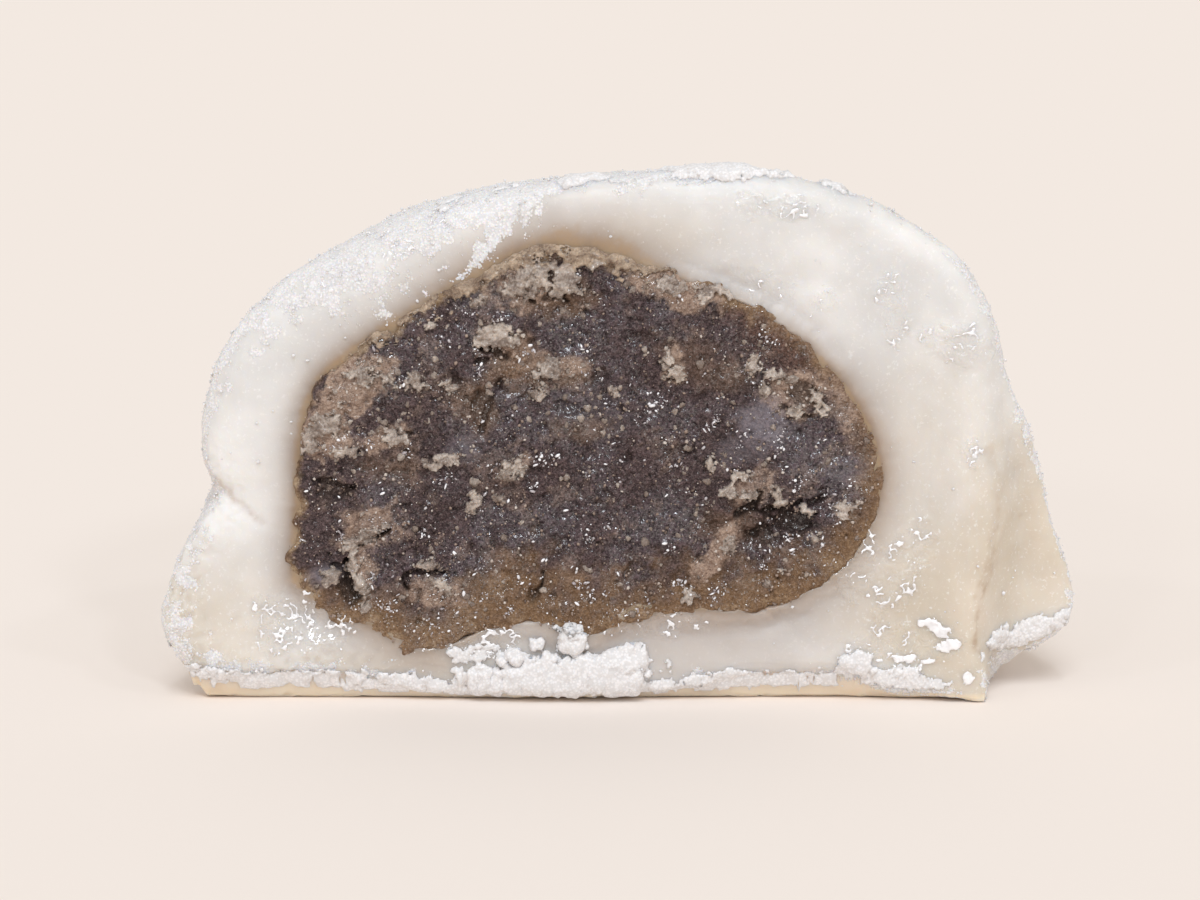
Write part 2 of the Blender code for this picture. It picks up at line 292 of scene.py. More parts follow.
# Paler dried areas of the paste: across, up, half width, half height, turn and strength.
DRY_AREAS = [
    (0.215, 0.600, 2.7, 1.5, 28, 0.95),
    (0.182, 0.520, 1.7, 1.6, 0, 0.9),
    (0.250, 0.505, 1.6, 0.7, 20, 0.6),
    (0.225, 0.335, 2.2, 1.5, 25, 0.55),
    (0.300, 0.212, 2.0, 1.1, 0, 0.5),
    (0.222, 0.250, 0.8, 1.5, 8, 0.8),
    (0.554, 0.780, 2.7, 1.0, -22, 0.85),
    (0.395, 0.785, 1.9, 1.5, 0, 0.55),
    (0.452, 0.640, 1.0, 0.7, 0, 0.45),
    (0.554, 0.640, 0.8, 1.2, 0, 0.65),
    (0.600, 0.285, 0.75, 2.1, -38, 0.75),
    (0.683, 0.585, 1.9, 1.5, 0, 0.65),
    (0.735, 0.560, 1.2, 2.6, 20, 0.35),
    (0.385, 0.445, 1.3, 0.8, 20, 0.45),
    (0.395, 0.655, 1.8, 1.2, 0, 0.35),
    (0.640, 0.415, 1.8, 0.9, 25, 0.4),
]
# Milky smears, where rice flour and syrup have been dragged over the paste by the knife.
MILKY_SMEARS = [
    (0.652, 0.530, 1.5, 1.7, -35, 0.9),
    (0.625, 0.480, 1.6, 0.9, 20, 0.4),
    (0.335, 0.488, 1.1, 0.8, 0, 0.5),
    (0.182, 0.243, 1.0, 0.7, 20, 0.9),
    (0.735, 0.445, 1.6, 0.8, 10, 0.35),
    (0.470, 0.560, 2.2, 1.6, 0, 0.2),
]
# Torn hollows of the cut: across, up, half width, half height, turn and depth.
HOLLOWS = [
    (0.680, 0.345, 2.5, 0.8, 8, 0.75),
    (0.655, 0.325, 1.2, 0.9, 0, 0.35),
    (0.690, 0.590, 1.1, 0.7, -30, 0.5),
    (0.206, 0.225, 0.75, 1.2, 0, 0.6),
    (0.188, 0.405, 1.2, 0.55, -12, 0.45),
    (0.496, 0.853, 0.35, 0.5, -20, 0.5),
    (0.345, 0.560, 0.5, 1.1, -20, 0.35),
    (0.372, 0.660, 0.7, 0.35, -15, 0.35),
    (0.405, 0.205, 0.4, 0.4, 0, 0.4),
    (0.590, 0.350, 1.5, 0.5, 0, 0.12),
    (0.475, 0.620, 0.6, 0.5, 20, 0.30),
    (0.430, 0.772, 0.8, 0.3, 15, 0.45),
    (0.440, 0.560, 0.9, 0.4, -20, 0.25),
    (0.300, 0.400, 0.8, 0.4, 30, 0.25),
    (0.560, 0.480, 1.0, 0.4, 10, 0.22),
    (0.520, 0.690, 1.0, 0.4, -10, 0.22),
]
# Crumbs and flakes on the cut: across, up, half width, half height, turn, thickness.
FLAKES = [
    (0.408, 0.812, 0.95, 0.75, 10, 0.30),
    (0.392, 0.785, 0.80, 0.70, -20, 0.26),
    (0.440, 0.800, 0.85, 1.05, 20, 0.32),
    (0.462, 0.842, 1.40, 0.60, 0, 0.28),
    (0.368, 0.700, 0.95, 0.70, -10, 0.30),
    (0.352, 0.684, 0.55, 0.60, 30, 0.22),
    (0.386, 0.688, 0.55, 0.55, 0, 0.20),
    (0.421, 0.633, 0.65, 0.85, 0, 0.32),
    (0.409, 0.592, 0.52, 0.55, 0, 0.34),
    (0.313, 0.601, 0.45, 0.33, 0, 0.22),
    (0.280, 0.611, 0.76, 0.60, 0, 0.24),
    (0.252, 0.622, 0.60, 0.60, 0, 0.20),
    (0.225, 0.628, 1.10, 0.55, 25, 0.20),
    (0.256, 0.508, 0.85, 0.60, 15, 0.24),
    (0.192, 0.535, 0.90, 0.70, 30, 0.22),
    (0.168, 0.500, 0.60, 0.90, 25, 0.20),
    (0.205, 0.480, 0.80, 0.35, 0, 0.18),
    (0.312, 0.462, 0.95, 0.45, 15, 0.20),
    (0.383, 0.447, 0.69, 0.55, 30, 0.22),
    (0.343, 0.392, 0.45, 0.55, 0, 0.24),
    (0.338, 0.372, 0.35, 0.35, 0, 0.22),
    (0.368, 0.389, 0.43, 0.33, 0, 0.18),
    (0.225, 0.318, 1.20, 0.35, 35, 0.22),
    (0.205, 0.300, 0.50, 0.50, 0, 0.22),
    (0.212, 0.268, 0.40, 0.85, 5, 0.30),
    (0.220, 0.222, 0.42, 0.65, 0, 0.34),
    (0.225, 0.185, 0.25, 0.60, 0, 0.22),
    (0.187, 0.246, 0.65, 0.55, 20, 0.34),
    (0.290, 0.266, 0.62, 0.32, 10, 0.26),
    (0.305, 0.226, 0.80, 0.45, -15, 0.18),
    (0.417, 0.794, 0.33, 0.55, 0, 0.22),
    (0.554, 0.625, 0.60, 0.35, 15, 0.24),
    (0.550, 0.655, 0.40, 0.60, 0, 0.18),
    (0.493, 0.594, 0.34, 0.30, 0, 0.20),
    (0.638, 0.643, 0.39, 0.45, 0, 0.22),
    (0.668, 0.622, 0.80, 0.32, -15, 0.24),
    (0.650, 0.598, 0.32, 0.60, 10, 0.22),
    (0.705, 0.588, 0.35, 0.60, 20, 0.22),
    (0.683, 0.552, 0.85, 0.50, -25, 0.26),
    (0.712, 0.560, 0.40, 0.40, 0, 0.20),
    (0.594, 0.460, 0.33, 0.33, 0, 0.22),
    (0.631, 0.436, 0.70, 0.28, 10, 0.22),
    (0.612, 0.404, 0.55, 0.30, 25, 0.22),
    (0.636, 0.395, 0.50, 0.28, -10, 0.22),
    (0.665, 0.400, 0.32, 0.60, 10, 0.30),
    (0.672, 0.378, 0.45, 0.35, 0, 0.30),
    (0.694, 0.370, 0.45, 0.28, 0, 0.26),
    (0.738, 0.371, 0.60, 0.42, 25, 0.36),
    (0.706, 0.317, 0.36, 0.25, 0, 0.28),
    (0.677, 0.252, 0.42, 0.18, 0, 0.22),
    (0.655, 0.228, 0.18, 0.20, 0, 0.20),
    (0.570, 0.203, 0.33, 0.35, 0, 0.26),
    (0.612, 0.300, 0.30, 0.65, -35, 0.14),
    (0.548, 0.792, 1.10, 0.45, -15, 0.16),
    (0.585, 0.772, 0.55, 0.40, -20, 0.18),
    (0.608, 0.778, 0.80, 0.30, -30, 0.22),
    (0.345, 0.760, 0.60, 0.25, 25, 0.16),
    (0.300, 0.720, 0.50, 0.22, 30, 0.14),
]
# Browner places in the middle of the paste.
BROWN_AREAS = [
    (0.391, 0.640, 1.7, 1.5, 0, 0.75),
    (0.448, 0.625, 1.3, 0.9, 0, 0.6),
    (0.455, 0.523, 1.6, 0.8, 0, 0.45),
    (0.345, 0.560, 1.2, 1.6, 0, 0.5),
    (0.430, 0.770, 2.2, 1.2, 0, 0.6),
    (0.250, 0.450, 2.0, 1.0, 0, 0.3),
    (0.590, 0.640, 3.0, 1.2, -20, 0.3),
    (0.620, 0.340, 2.5, 1.0, 0, 0.35),
]
# Cracks: the route over the cut face, then width and depth in millimetres.
CRACKS = [
    ([(0.205, 0.275), (0.215, 0.300), (0.238, 0.318), (0.250, 0.330)], 0.20, 0.9),
    ([(0.205, 0.275), (0.204, 0.235), (0.215, 0.205)], 0.28, 0.9),
    ([(0.188, 0.262), (0.205, 0.260)], 0.18, 0.6),
    ([(0.258, 0.236), (0.275, 0.252), (0.300, 0.250), (0.322, 0.250)], 0.13, 0.5),
    ([(0.262, 0.240), (0.268, 0.220)], 0.14, 0.6),
    ([(0.415, 0.262), (0.414, 0.222), (0.404, 0.200)], 0.14, 0.6),
    ([(0.150, 0.440), (0.172, 0.425), (0.192, 0.418), (0.212, 0.412)], 0.18, 0.6),
    ([(0.352, 0.672), (0.366, 0.667), (0.378, 0.655)], 0.16, 0.6),
    ([(0.348, 0.648), (0.358, 0.655)], 0.12, 0.5),
    ([(0.372, 0.612), (0.362, 0.585), (0.352, 0.545), (0.349, 0.520)], 0.22, 0.45),
    ([(0.622, 0.360), (0.636, 0.372), (0.650, 0.362), (0.668, 0.372), (0.690, 0.380)], 0.20, 0.7),
    ([(0.640, 0.372), (0.645, 0.400)], 0.14, 0.6),
    ([(0.700, 0.378), (0.715, 0.392)], 0.15, 0.5),
    ([(0.494, 0.865), (0.505, 0.845), (0.530, 0.838), (0.555, 0.838), (0.580, 0.825)], 0.14, 0.7),
    ([(0.395, 0.772), (0.405, 0.760)], 0.2, 0.6),
    ([(0.430, 0.768), (0.442, 0.760)], 0.22, 0.6),
    ([(0.280, 0.155), (0.281, 0.215)], 0.12, 0.3),
    ([(0.672, 0.562), (0.690, 0.552), (0.700, 0.545)], 0.16, 0.5),
    ([(0.552, 0.618), (0.560, 0.612)], 0.15, 0.4),
    ([(0.270, 0.512), (0.276, 0.512)], 0.16, 0.4),
    ([(0.322, 0.618), (0.328, 0.615)], 0.15, 0.4),
    ([(0.352, 0.690), (0.356, 0.688)], 0.12, 0.4),
]

torn = swells(places, 1.3, 3, 3)
fine_torn = swells(places, 0.45, 4, 2)
uneven = shaken(places, 0.5, 61)
clod_tops, clods = crumbs_over(uneven, 1.05, 1)
crumb_tops, crumbs = crumbs_over(uneven, 0.40, 2)
clod_luck = swells(clods, 0.11, 66)
crumb_luck = swells(crumbs, 0.07, 67)
_, bits = crumbs_over(uneven, 0.34, 9)
dry = patched(places, DRY_AREAS, 0.34 * torn + 0.14 * fine_torn, 0.42)
stray = swells(places, 2.2, 5, 4)
dry = np.maximum(dry, 0.20 * soft_step(0.25, 0.75, stray + 0.15 * fine_torn) * soft_step(0.6, 1.8, from_rim))
dry = np.clip(dry * (1.0 + 0.35 * crumb_luck), 0.0, 1.0)

milky = patched(places, MILKY_SMEARS, 0.3 * torn, 0.6)
browned = patched(places, BROWN_AREAS, 0.4 * torn, 0.6)

flaked = np.zeros(len(places))
flake_ragged = 0.45 * swells(bits, 0.9, 64, 2) + 0.20 * swells(bits, 0.35, 65)
for across, up, half_width, half_height, turn, thick in FLAKES:
    patch = oval(bits, across, up, 1.1 * half_width, 1.1 * half_height, turn, flake_ragged, 0.22)
    flaked = np.maximum(flaked, patch * (0.5 + thick))
# Along the top and the left the dough has torn, and its soaked edge lies over the paste in scales.
SCALE_WIDTH = [
    (0, 0.01), (55, 0.01), (66, 0.5), (78, 1.0), (96, 1.2), (108, 1.1), (118, 1.0), (128, 0.85), (150, 0.55),
    (168, 0.01), (360, 0.01),
]
scale_ragged = from_rim + 0.7 * swells(bits, 1.1, 10, 2) + 0.3 * swells(bits, 0.4, 12)
scales = soft_step(1.0, 0.7, scale_ragged / by_angle(angle, SCALE_WIDTH)) * on_face
scales *= soft_step(55, 68, angle) * soft_step(172, 158, angle)
flaked = np.maximum(flaked, 0.72 * scales)

depth = patched(places, HOLLOWS, 0.35 * torn + 0.2 * fine_torn, 0.22)
for route, width, deep in CRACKS:
    off = line_distance(places, route) + 0.16 * torn + 0.10 * fine_torn
    depth = np.maximum(depth, deep * soft_step(width * 1.25, width * 0.35, off))
pits = swells(places, 0.8, 8, 2)
depth = np.maximum(depth, 0.22 * soft_step(0.78, 1.05, pits) * soft_step(0.4, 1.0, from_rim))
depth *= 1.0 - 0.8 * flaked

relief = 0.15 * swells(places, 7.0, 1, 2) + 0.12 * swells(places, 2.2, 2, 2) + 0.05 * swells(places, 0.24, 6)
relief += 0.08 * (clod_tops - 0.4) + 0.08 * clod_luck + 0.07 * (crumb_tops - 0.4) + 0.05 * crumb_luck
relief += 0.12 * dry + 0.06 * milky + 0.12 * flaked - depth
flush_below = 1.0 - soft_step(62, 78, angle) * soft_step(206, 190, angle)
relief = relief * soft_step(0.2, 1.5, from_rim) + 0.16 - 0.10 * flush_below + 0.06 * torn + 0.05 * crumb_luck
relief -= (0.36 - 0.22 * flush_below) * soft_step(0.42, 0.08, from_rim)
places[:, 1] -= on_face * relief * MM
move_points(paste, places)

# The syrup has soaked outwards, so the paste is browner towards the dough, most of all low down.
BROWN_REACH = [
    (0, 1.6), (30, 1.0), (60, 0.8), (85, 1.2), (105, 1.2), (125, 0.6), (150, 0.5), (180, 0.5),
    (200, 0.9), (220, 3.2), (235, 5.0), (250, 4.4), (270, 3.8), (300, 3.6), (330, 3.4), (360, 1.8),
]
brown_reach = by_angle(angle, BROWN_REACH)
brown = soft_step(1.15, 0.1, from_rim / brown_reach + 0.25 * torn + 0.15 * crumb_luck)
brown = np.maximum(brown, browned)
red_brown = oval(places, 0.665, 0.690, 3.6, 1.6, -38, 0.2 * torn, 0.6)
fringe_reach = 0.75 + 0.55 * soft_step(70, 88, angle) * soft_step(132, 112, angle)
fringe = soft_step(fringe_reach, 0.0, from_rim + 0.55 * torn + 0.25 * fine_torn)
fringe *= (0.25 + 0.65 * torn_rim) * on_face
# Each crumb's tone differs at random, and painted shade makes it darker in the gaps and lighter on top.
crumb_tone = 0.5 + 0.55 * crumb_luck + 0.3 * clod_luck + 0.5 * (crumb_tops - 0.35)
# The depth of the hollows and cracks is also kept as painted shade that darkens the paste there.
for name, values in (("dry", dry), ("milky", milky), ("brown", brown), ("red_brown", red_brown),
                     ("scales", scales), ("fringe", np.clip(fringe * (1.0 + 0.6 * crumb_luck), 0, 1)),
                     ("painted_hollow_shade", np.clip(depth / 0.7, 0, 1)), ("crumb_tone", np.clip(crumb_tone, 0, 1)),
                     ("flaked", np.clip(flaked * (1.15 + 0.5 * crumb_luck), 0, 1))):
    note_on(paste, name, values)


def colour(red, green, blue):
    """A colour given as a screen shows it, 0 to 255, in the linear values that a shader takes."""
    shares = (red / 255, green / 255, blue / 255)
    return tuple(((share + 0.055) / 1.055) ** 2.4 for share in shares) + (1.0,)


def add(tree, kind, inputs=None, **settings):
    """A node with its settings. Its inputs are values, or outputs of other nodes."""
    made = tree.nodes.new(kind)
    for name, value in settings.items():
        setattr(made, name, value)
    for name, value in (inputs or {}).items():
        if isinstance(value, bpy.types.NodeSocket):
            tree.links.new(value, made.inputs[name])
        else:
            made.inputs[name].default_value = value
    return made


def sums(tree, operation, first, second):
    return add(tree, "ShaderNodeMath", {0: first, 1: second}, operation=operation).outputs[0]


def times(tree, first, second):
    return sums(tree, "MULTIPLY", first, second)


def plus(tree, first, second):
    return sums(tree, "ADD", first, second)


def mixed(tree, share, first, second):
    """One colour over another, by a share from 0 to 1."""
    return add(tree, "ShaderNodeMix", {0: share, 6: first, 7: second}, data_type="RGBA").outputs[2]


def stretched(tree, value, low, high, to_low=0.0, to_high=1.0):
    """A value's part between low and high, eased and spread over a new range."""
    ends = {"Value": value, "From Min": low, "From Max": high, "To Min": to_low, "To Max": to_high}
    return add(tree, "ShaderNodeMapRange", ends, interpolation_type="SMOOTHSTEP").outputs[0]


def ramp(tree, value, low, high, dark, pale):
    """A colour that goes from dark to pale while a value goes from low to high."""
    return mixed(tree, stretched(tree, value, low, high), colour(*dark), colour(*pale))


def noise_over(tree, place, scale, detail, roughness=0.5, distortion=0.0):
    """Soft noise over the places of a piece, by its scale in turns for each metre."""
    inputs = {"Vector": place, "Scale": scale, "Detail": detail, "Roughness": roughness,
              "Distortion": distortion}
    return add(tree, "ShaderNodeTexNoise", inputs).outputs[0]


def noted(tree, name):
    return add(tree, "ShaderNodeAttribute", attribute_name=name).outputs["Fac"]


def tinted(tree, under, note, strength, shade):
    """A colour laid over another, as strongly as a note on the piece says."""
    return mixed(tree, times(tree, noted(tree, note), strength), under, shade)


def new_effect(name, inputs, outputs):
    """An effect that several finishes share: its tree, its input node and its output node."""
    tree = bpy.data.node_groups.new(name, "ShaderNodeTree")
    for socket, value in inputs.items():
        tree.interface.new_socket(socket, in_out="INPUT", socket_type="NodeSocketFloat").default_value = value
    for socket, kind in outputs.items():
        tree.interface.new_socket(socket, in_out="OUTPUT", socket_type=kind)
    return tree, tree.nodes.new("NodeGroupInput").outputs, tree.nodes.new("NodeGroupOutput").inputs


def effect(tree, group, inputs):
    """An effect placed in a finish with that finish's own values: its outputs."""
    return add(tree, "ShaderNodeGroup", inputs, node_tree=group).outputs


def new_finish(name):
    """A new material: itself, its tree and its main shader."""
    made = bpy.data.materials.new(name)
    made.use_nodes = True
    return made, made.node_tree, made.node_tree.nodes["Principled BSDF"]


def set_same(shader, values):
    """Sets what is the same all over a finish."""
    for name, value in values.items():
        shader.inputs[name].default_value = value


def give_finish(piece, finish):
    piece.data.materials.clear()
    piece.data.materials.append(finish)


# Grain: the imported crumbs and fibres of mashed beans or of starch, at a width given in millimetres.
GRAIN, grain_in, grain_out = new_effect(
    "grain", {"Width": 0.3},
    {"Mottle": "NodeSocketFloat", "Fibres": "NodeSocketFloat", "Height": "NodeSocketFloat"},
)
grain_place = add(GRAIN, "ShaderNodeTexCoord").outputs["Object"]
grain_scale = sums(GRAIN, "DIVIDE", 1000.0, grain_in["Width"])
grain_soft = noise_over(GRAIN, grain_place, grain_scale, 5.0, 0.62, 0.6)
grain_cells = add(GRAIN, "ShaderNodeTexVoronoi", {"Vector": grain_place, "Scale": grain_scale},
                  feature="SMOOTH_F1")
grain_tops = stretched(GRAIN, grain_cells.outputs["Distance"], 0.75, 0.1)
grain_hairs = noise_over(GRAIN, grain_place, grain_scale, 1.0, 0.5, 2.5)
grain_ridge = add(GRAIN, "ShaderNodeMath", {0: sums(GRAIN, "SUBTRACT", grain_hairs, 0.5)},
                  operation="ABSOLUTE").outputs[0]
GRAIN.links.new(grain_soft, grain_out["Mottle"])
GRAIN.links.new(stretched(GRAIN, grain_ridge, 0.030, 0.0), grain_out["Fibres"])
GRAIN.links.new(plus(GRAIN, times(GRAIN, grain_tops, 0.55), grain_soft), grain_out["Height"])

# Wet glints: a film of syrup or moist dough that lies in small wrinkled spots and shines.
GLINTS, glint_in, glint_out = new_effect(
    "wet glints", {"Wetness": 0.5, "Width": 0.3, "Dry roughness": 0.5},
    {"Roughness": "NodeSocketFloat", "Coat": "NodeSocketFloat", "Height": "NodeSocketFloat"},
)
glint_place = add(GLINTS, "ShaderNodeTexCoord").outputs["Object"]
glint_scale = sums(GLINTS, "DIVIDE", 1000.0, glint_in["Width"])
glint_noise = noise_over(GLINTS, glint_place, glint_scale, 2.0, 0.5, 1.2)
glint_shape = plus(GLINTS, glint_noise, times(GLINTS, glint_in["Wetness"], 0.5))
glint_film = stretched(GLINTS, glint_shape, 0.72, 0.88)
glint_rough = sums(GLINTS, "SUBTRACT", glint_in["Dry roughness"],
                   times(GLINTS, glint_film, sums(GLINTS, "SUBTRACT", glint_in["Dry roughness"], 0.12)))
GLINTS.links.new(glint_rough, glint_out["Roughness"])
GLINTS.links.new(glint_film, glint_out["Coat"])
GLINTS.links.new(glint_noise, glint_out["Height"])

paste_finish, tree, shader = new_finish("bean_paste")
place = add(tree, "ShaderNodeTexCoord").outputs["Object"]
fibres = effect(tree, GRAIN, {"Width": 0.22})
specks = effect(tree, GRAIN, {"Width": 0.11})
clouds = noise_over(tree, place, 260.0, 4.0, 0.6)
tone = times(tree, fibres["Mottle"], 0.5)
tone = plus(tree, tone, times(tree, specks["Mottle"], 0.6))
tone = plus(tree, tone, times(tree, sums(tree, "SUBTRACT", noted(tree, "crumb_tone"), 0.5), 0.10))
purple = ramp(tree, tone, 0.40, 0.76, (41, 28, 28), (104, 83, 83))
blue_purple = ramp(tree, tone, 0.40, 0.76, (39, 29, 32), (102, 85, 92))
paste_colour = mixed(tree, stretched(tree, clouds, 0.44, 0.62), purple, blue_purple)
red = ramp(tree, tone, 0.42, 0.72, (56, 34, 26), (118, 86, 72))
paste_colour = tinted(tree, paste_colour, "red_brown", 0.8, red)
syrup = ramp(tree, tone, 0.40, 0.76, (108, 80, 55), (148, 116, 84))
paste_colour = mixed(tree, noted(tree, "brown"), paste_colour, syrup)
ochre = ramp(tree, tone, 0.40, 0.76, (140, 114, 86), (198, 174, 143))
paste_colour = tinted(tree, paste_colour, "fringe", 0.85, ochre)
dry_edge = plus(tree, noted(tree, "dry"), times(tree, specks["Mottle"], 0.22))
dried = ramp(tree, tone, 0.38, 0.76, (138, 112, 97), (196, 169, 149))
paste_colour = mixed(tree, times(tree, stretched(tree, dry_edge, 0.15, 0.75), 0.9), paste_colour, dried)
flake = ramp(tree, tone, 0.36, 0.74, (124, 107, 97), (190, 174, 161))
pale = times(tree, stretched(tree, noted(tree, "flaked"), 0.2, 0.8), 0.9)
paste_colour = mixed(tree, pale, paste_colour, flake)
paste_colour = tinted(tree, paste_colour, "milky", 0.55, colour(150, 142, 150))
# Painted shade: the paste's hollows and cracks are darkened nearly to black.
paste_colour = tinted(tree, paste_colour, "painted_hollow_shade", 0.8, colour(36, 22, 15))
hairs = effect(tree, GRAIN, {"Width": 0.30})
hair = times(tree, hairs["Fibres"], stretched(tree, fibres["Mottle"], 0.40, 0.62, 0.0, 0.34))
paste_colour = mixed(tree, hair, paste_colour, colour(196, 178, 168))
# Pale specks in the colour: partly tiny sugar crystals, partly painted glints.
bright = add(tree, "ShaderNodeTexVoronoi", {"Vector": place, "Scale": 6200.0})
bright_luck = add(tree, "ShaderNodeSeparateColor", {0: bright.outputs["Color"]}).outputs[0]
bright_spot = times(tree, stretched(tree, bright.outputs["Distance"], 0.42, 0.2),
                    stretched(tree, bright_luck, 0.84, 0.97))
bright_spot = times(tree, bright_spot, stretched(tree, clouds, 0.42, 0.6, 0.15, 1.0))
paste_colour = mixed(tree, times(tree, bright_spot, 0.6), paste_colour, colour(200, 192, 190))
film = stretched(tree, clouds, 0.40, 0.66, 0.30, 0.62)
glints = effect(tree, GLINTS, {"Wetness": film, "Width": 0.2, "Dry roughness": 0.62})
tree.links.new(paste_colour, shader.inputs["Base Color"])
tree.links.new(glints["Roughness"], shader.inputs["Roughness"])
tree.links.new(glints["Coat"], shader.inputs["Coat Weight"])
set_same(shader, {"Coat Roughness": 0.1, "Coat IOR": 1.8, "Specular IOR Level": 0.3})
paste_height = plus(tree, fibres["Height"], times(tree, specks["Height"], 0.6))
paste_height = plus(tree, paste_height, times(tree, glints["Height"], 1.2))
paste_bump = add(tree, "ShaderNodeBump", {"Height": paste_height, "Strength": 1.0, "Distance": 0.00008})
tree.links.new(paste_bump.outputs[0], shader.inputs["Normal"])
give_finish(paste, paste_finish)
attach(paste, "root")
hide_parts("bean_paste")


# Flakes of paste that the knife dragged up lie on the cut in ragged plates. They have dried paler
# than the rest, and each is a lifted scale of the same crumbly paste.
def trim(bm, note, least):
    """Takes away the faces where a note is below this level."""
    level = bm.verts.layers.float[note]
    low_faces = [f for f in bm.faces if max(v[level] for v in f.verts) < least]
    bmesh.ops.delete(bm, geom=low_faces, context="FACES")


def part_of(piece, name, note, least, cuts=1):
    """A new piece that is the part of another where a note is at least this high, in finer faces."""
    bm = bmesh.new()
    bm.from_mesh(piece.data)
    trim(bm, note, least)
    bmesh.ops.subdivide_edges(bm, edges=bm.edges[:], cuts=cuts, use_grid_fill=True)
    bmesh.ops.triangulate(bm, faces=[f for f in bm.faces if len(f.verts) > 4])
    return new_piece(name, bm)


def read_note(piece, name):
    values = np.empty(len(piece.data.vertices), np.float32)
    piece.data.attributes[name].data.foreach_get("value", values)
    return values.astype(float)


def closed(piece, thickness, note, least):
    """Trims a sheet to where a note is at least this high, closes it on its underside, this many
    millimetres down, and softens its edges."""
    bm = bmesh.new()
    bm.from_mesh(piece.data)
    trim(bm, note, least)
    bm.to_mesh(piece.data)
    bm.free()
    close = piece.modifiers.new("closed", "SOLIDIFY")
    close.thickness = thickness * MM
    close.offset = -1.0
    soften = piece.modifiers.new("soften", "SMOOTH")
    soften.iterations = 1
    bake_modifiers(piece)


FLAKE_LEAST = 0.45
flakes = part_of(paste, "paste_flakes", "flaked", 0.3)
places, facing = points_of(flakes)
bit_tops, bits = crumbs_over(shaken(places, 0.3, 62), 0.26, 63)
bit_luck = swells(bits, 0.05, 68)
lift = read_note(flakes, "flaked") + 0.12 * bit_luck
rise = 0.12 + 0.30 * (lift - 0.4) + 0.12 * swells(places, 1.3, 69) + 0.03 * bit_luck
rise += 0.02 * soft_step(0.0, 0.4, bit_tops) + 0.015 * swells(places, 0.15, 70)
places[:, 1] -= np.where(lift > FLAKE_LEAST, rise, -0.14) * MM
move_points(flakes, places)
note_on(flakes, "tone", np.clip(0.55 + 0.2 * bit_luck + 0.35 * swells(places, 1.1, 59, 2), 0, 1))
note_on(flakes, "lifted", lift)
closed(flakes, 0.12, "lifted", FLAKE_LEAST)

flake_finish, tree, shader = new_finish("dried_paste")
fibres = effect(tree, GRAIN, {"Width": 0.16})
flake_tone = times(tree, noted(tree, "tone"), 0.45)
flake_tone = plus(tree, flake_tone, times(tree, fibres["Mottle"], 0.8))
flake_colour = ramp(tree, flake_tone, 0.38, 0.95, (122, 106, 96), (202, 188, 176))
soaked = ramp(tree, flake_tone, 0.38, 0.95, (112, 91, 74), (192, 170, 147))
flake_colour = mixed(tree, noted(tree, "scales"), flake_colour, soaked)
tree.links.new(flake_colour, shader.inputs["Base Color"])
glints = effect(tree, GLINTS, {"Wetness": 0.35, "Width": 0.2, "Dry roughness": 0.7})
tree.links.new(glints["Roughness"], shader.inputs["Roughness"])
tree.links.new(glints["Coat"], shader.inputs["Coat Weight"])
set_same(shader, {"Coat Roughness": 0.1, "Coat IOR": 1.8, "Subsurface Weight": 0.25,
                  "Subsurface Radius": (1.0, 0.7, 0.5), "Subsurface Scale": 0.3 * MM})
flake_bump = add(tree, "ShaderNodeBump", {"Height": fibres["Height"], "Strength": 0.8, "Distance": 0.00005})
tree.links.new(flake_bump.outputs[0], shader.inputs["Normal"])
give_finish(flakes, flake_finish)
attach(flakes, "root")


# Crumbs of paste that the knife tore loose are strewn over the cut: lumps round the flakes, and
# fine crumbs everywhere between them. Syrup that has bled out stands between them in small beads,
# which are coloured near white as painted glints.
def spread_grains(name, roundness, roughness):
    """The node tree that puts a grain on each point of a mesh, by the point's size and turn."""
    tree = bpy.data.node_groups.new(name, "GeometryNodeTree")
    tree.interface.new_socket("Geometry", in_out="INPUT", socket_type="NodeSocketGeometry")
    tree.interface.new_socket("Geometry", in_out="OUTPUT", socket_type="NodeSocketGeometry")
    spots = tree.nodes.new("NodeGroupInput").outputs[0]
    ball = add(tree, "GeometryNodeMeshIcoSphere", {"Radius": 1.0, "Subdivisions": roundness})
    dents = add(tree, "ShaderNodeTexNoise", {"Scale": 1.1, "Detail": 2.0})
    dent = add(tree, "ShaderNodeVectorMath", {0: dents.outputs[1], 1: (0.5, 0.5, 0.5)}, operation="SUBTRACT")
    dent = add(tree, "ShaderNodeVectorMath", {0: dent.outputs[0], 1: (roughness,) * 3}, operation="MULTIPLY")
    rough_ball = add(tree, "GeometryNodeSetPosition", {"Geometry": ball.outputs[0],
                                                       "Offset": dent.outputs[0]})
    size = add(tree, "GeometryNodeInputNamedAttribute", {"Name": "size"}, data_type="FLOAT_VECTOR")
    turn = add(tree, "GeometryNodeInputNamedAttribute", {"Name": "turn"}, data_type="FLOAT_VECTOR")
    turned = add(tree, "FunctionNodeEulerToRotation", {0: turn.outputs[0]})
    placing = {"Points": spots, "Instance": rough_ball.outputs[0], "Rotation": turned.outputs[0],
               "Scale": size.outputs[0]}
    grains = add(tree, "GeometryNodeInstanceOnPoints", placing)
    real = add(tree, "GeometryNodeRealizeInstances", {0: grains.outputs[0]})
    tree.links.new(real.outputs[0], tree.nodes.new("NodeGroupOutput").inputs[0])
    return tree


GRAINS = spread_grains("grains on points", 1, 1.6)
LUMPS = spread_grains("lumps on points", 2, 2.2)
BEADS = spread_grains("beads on points", 1, 0.5)


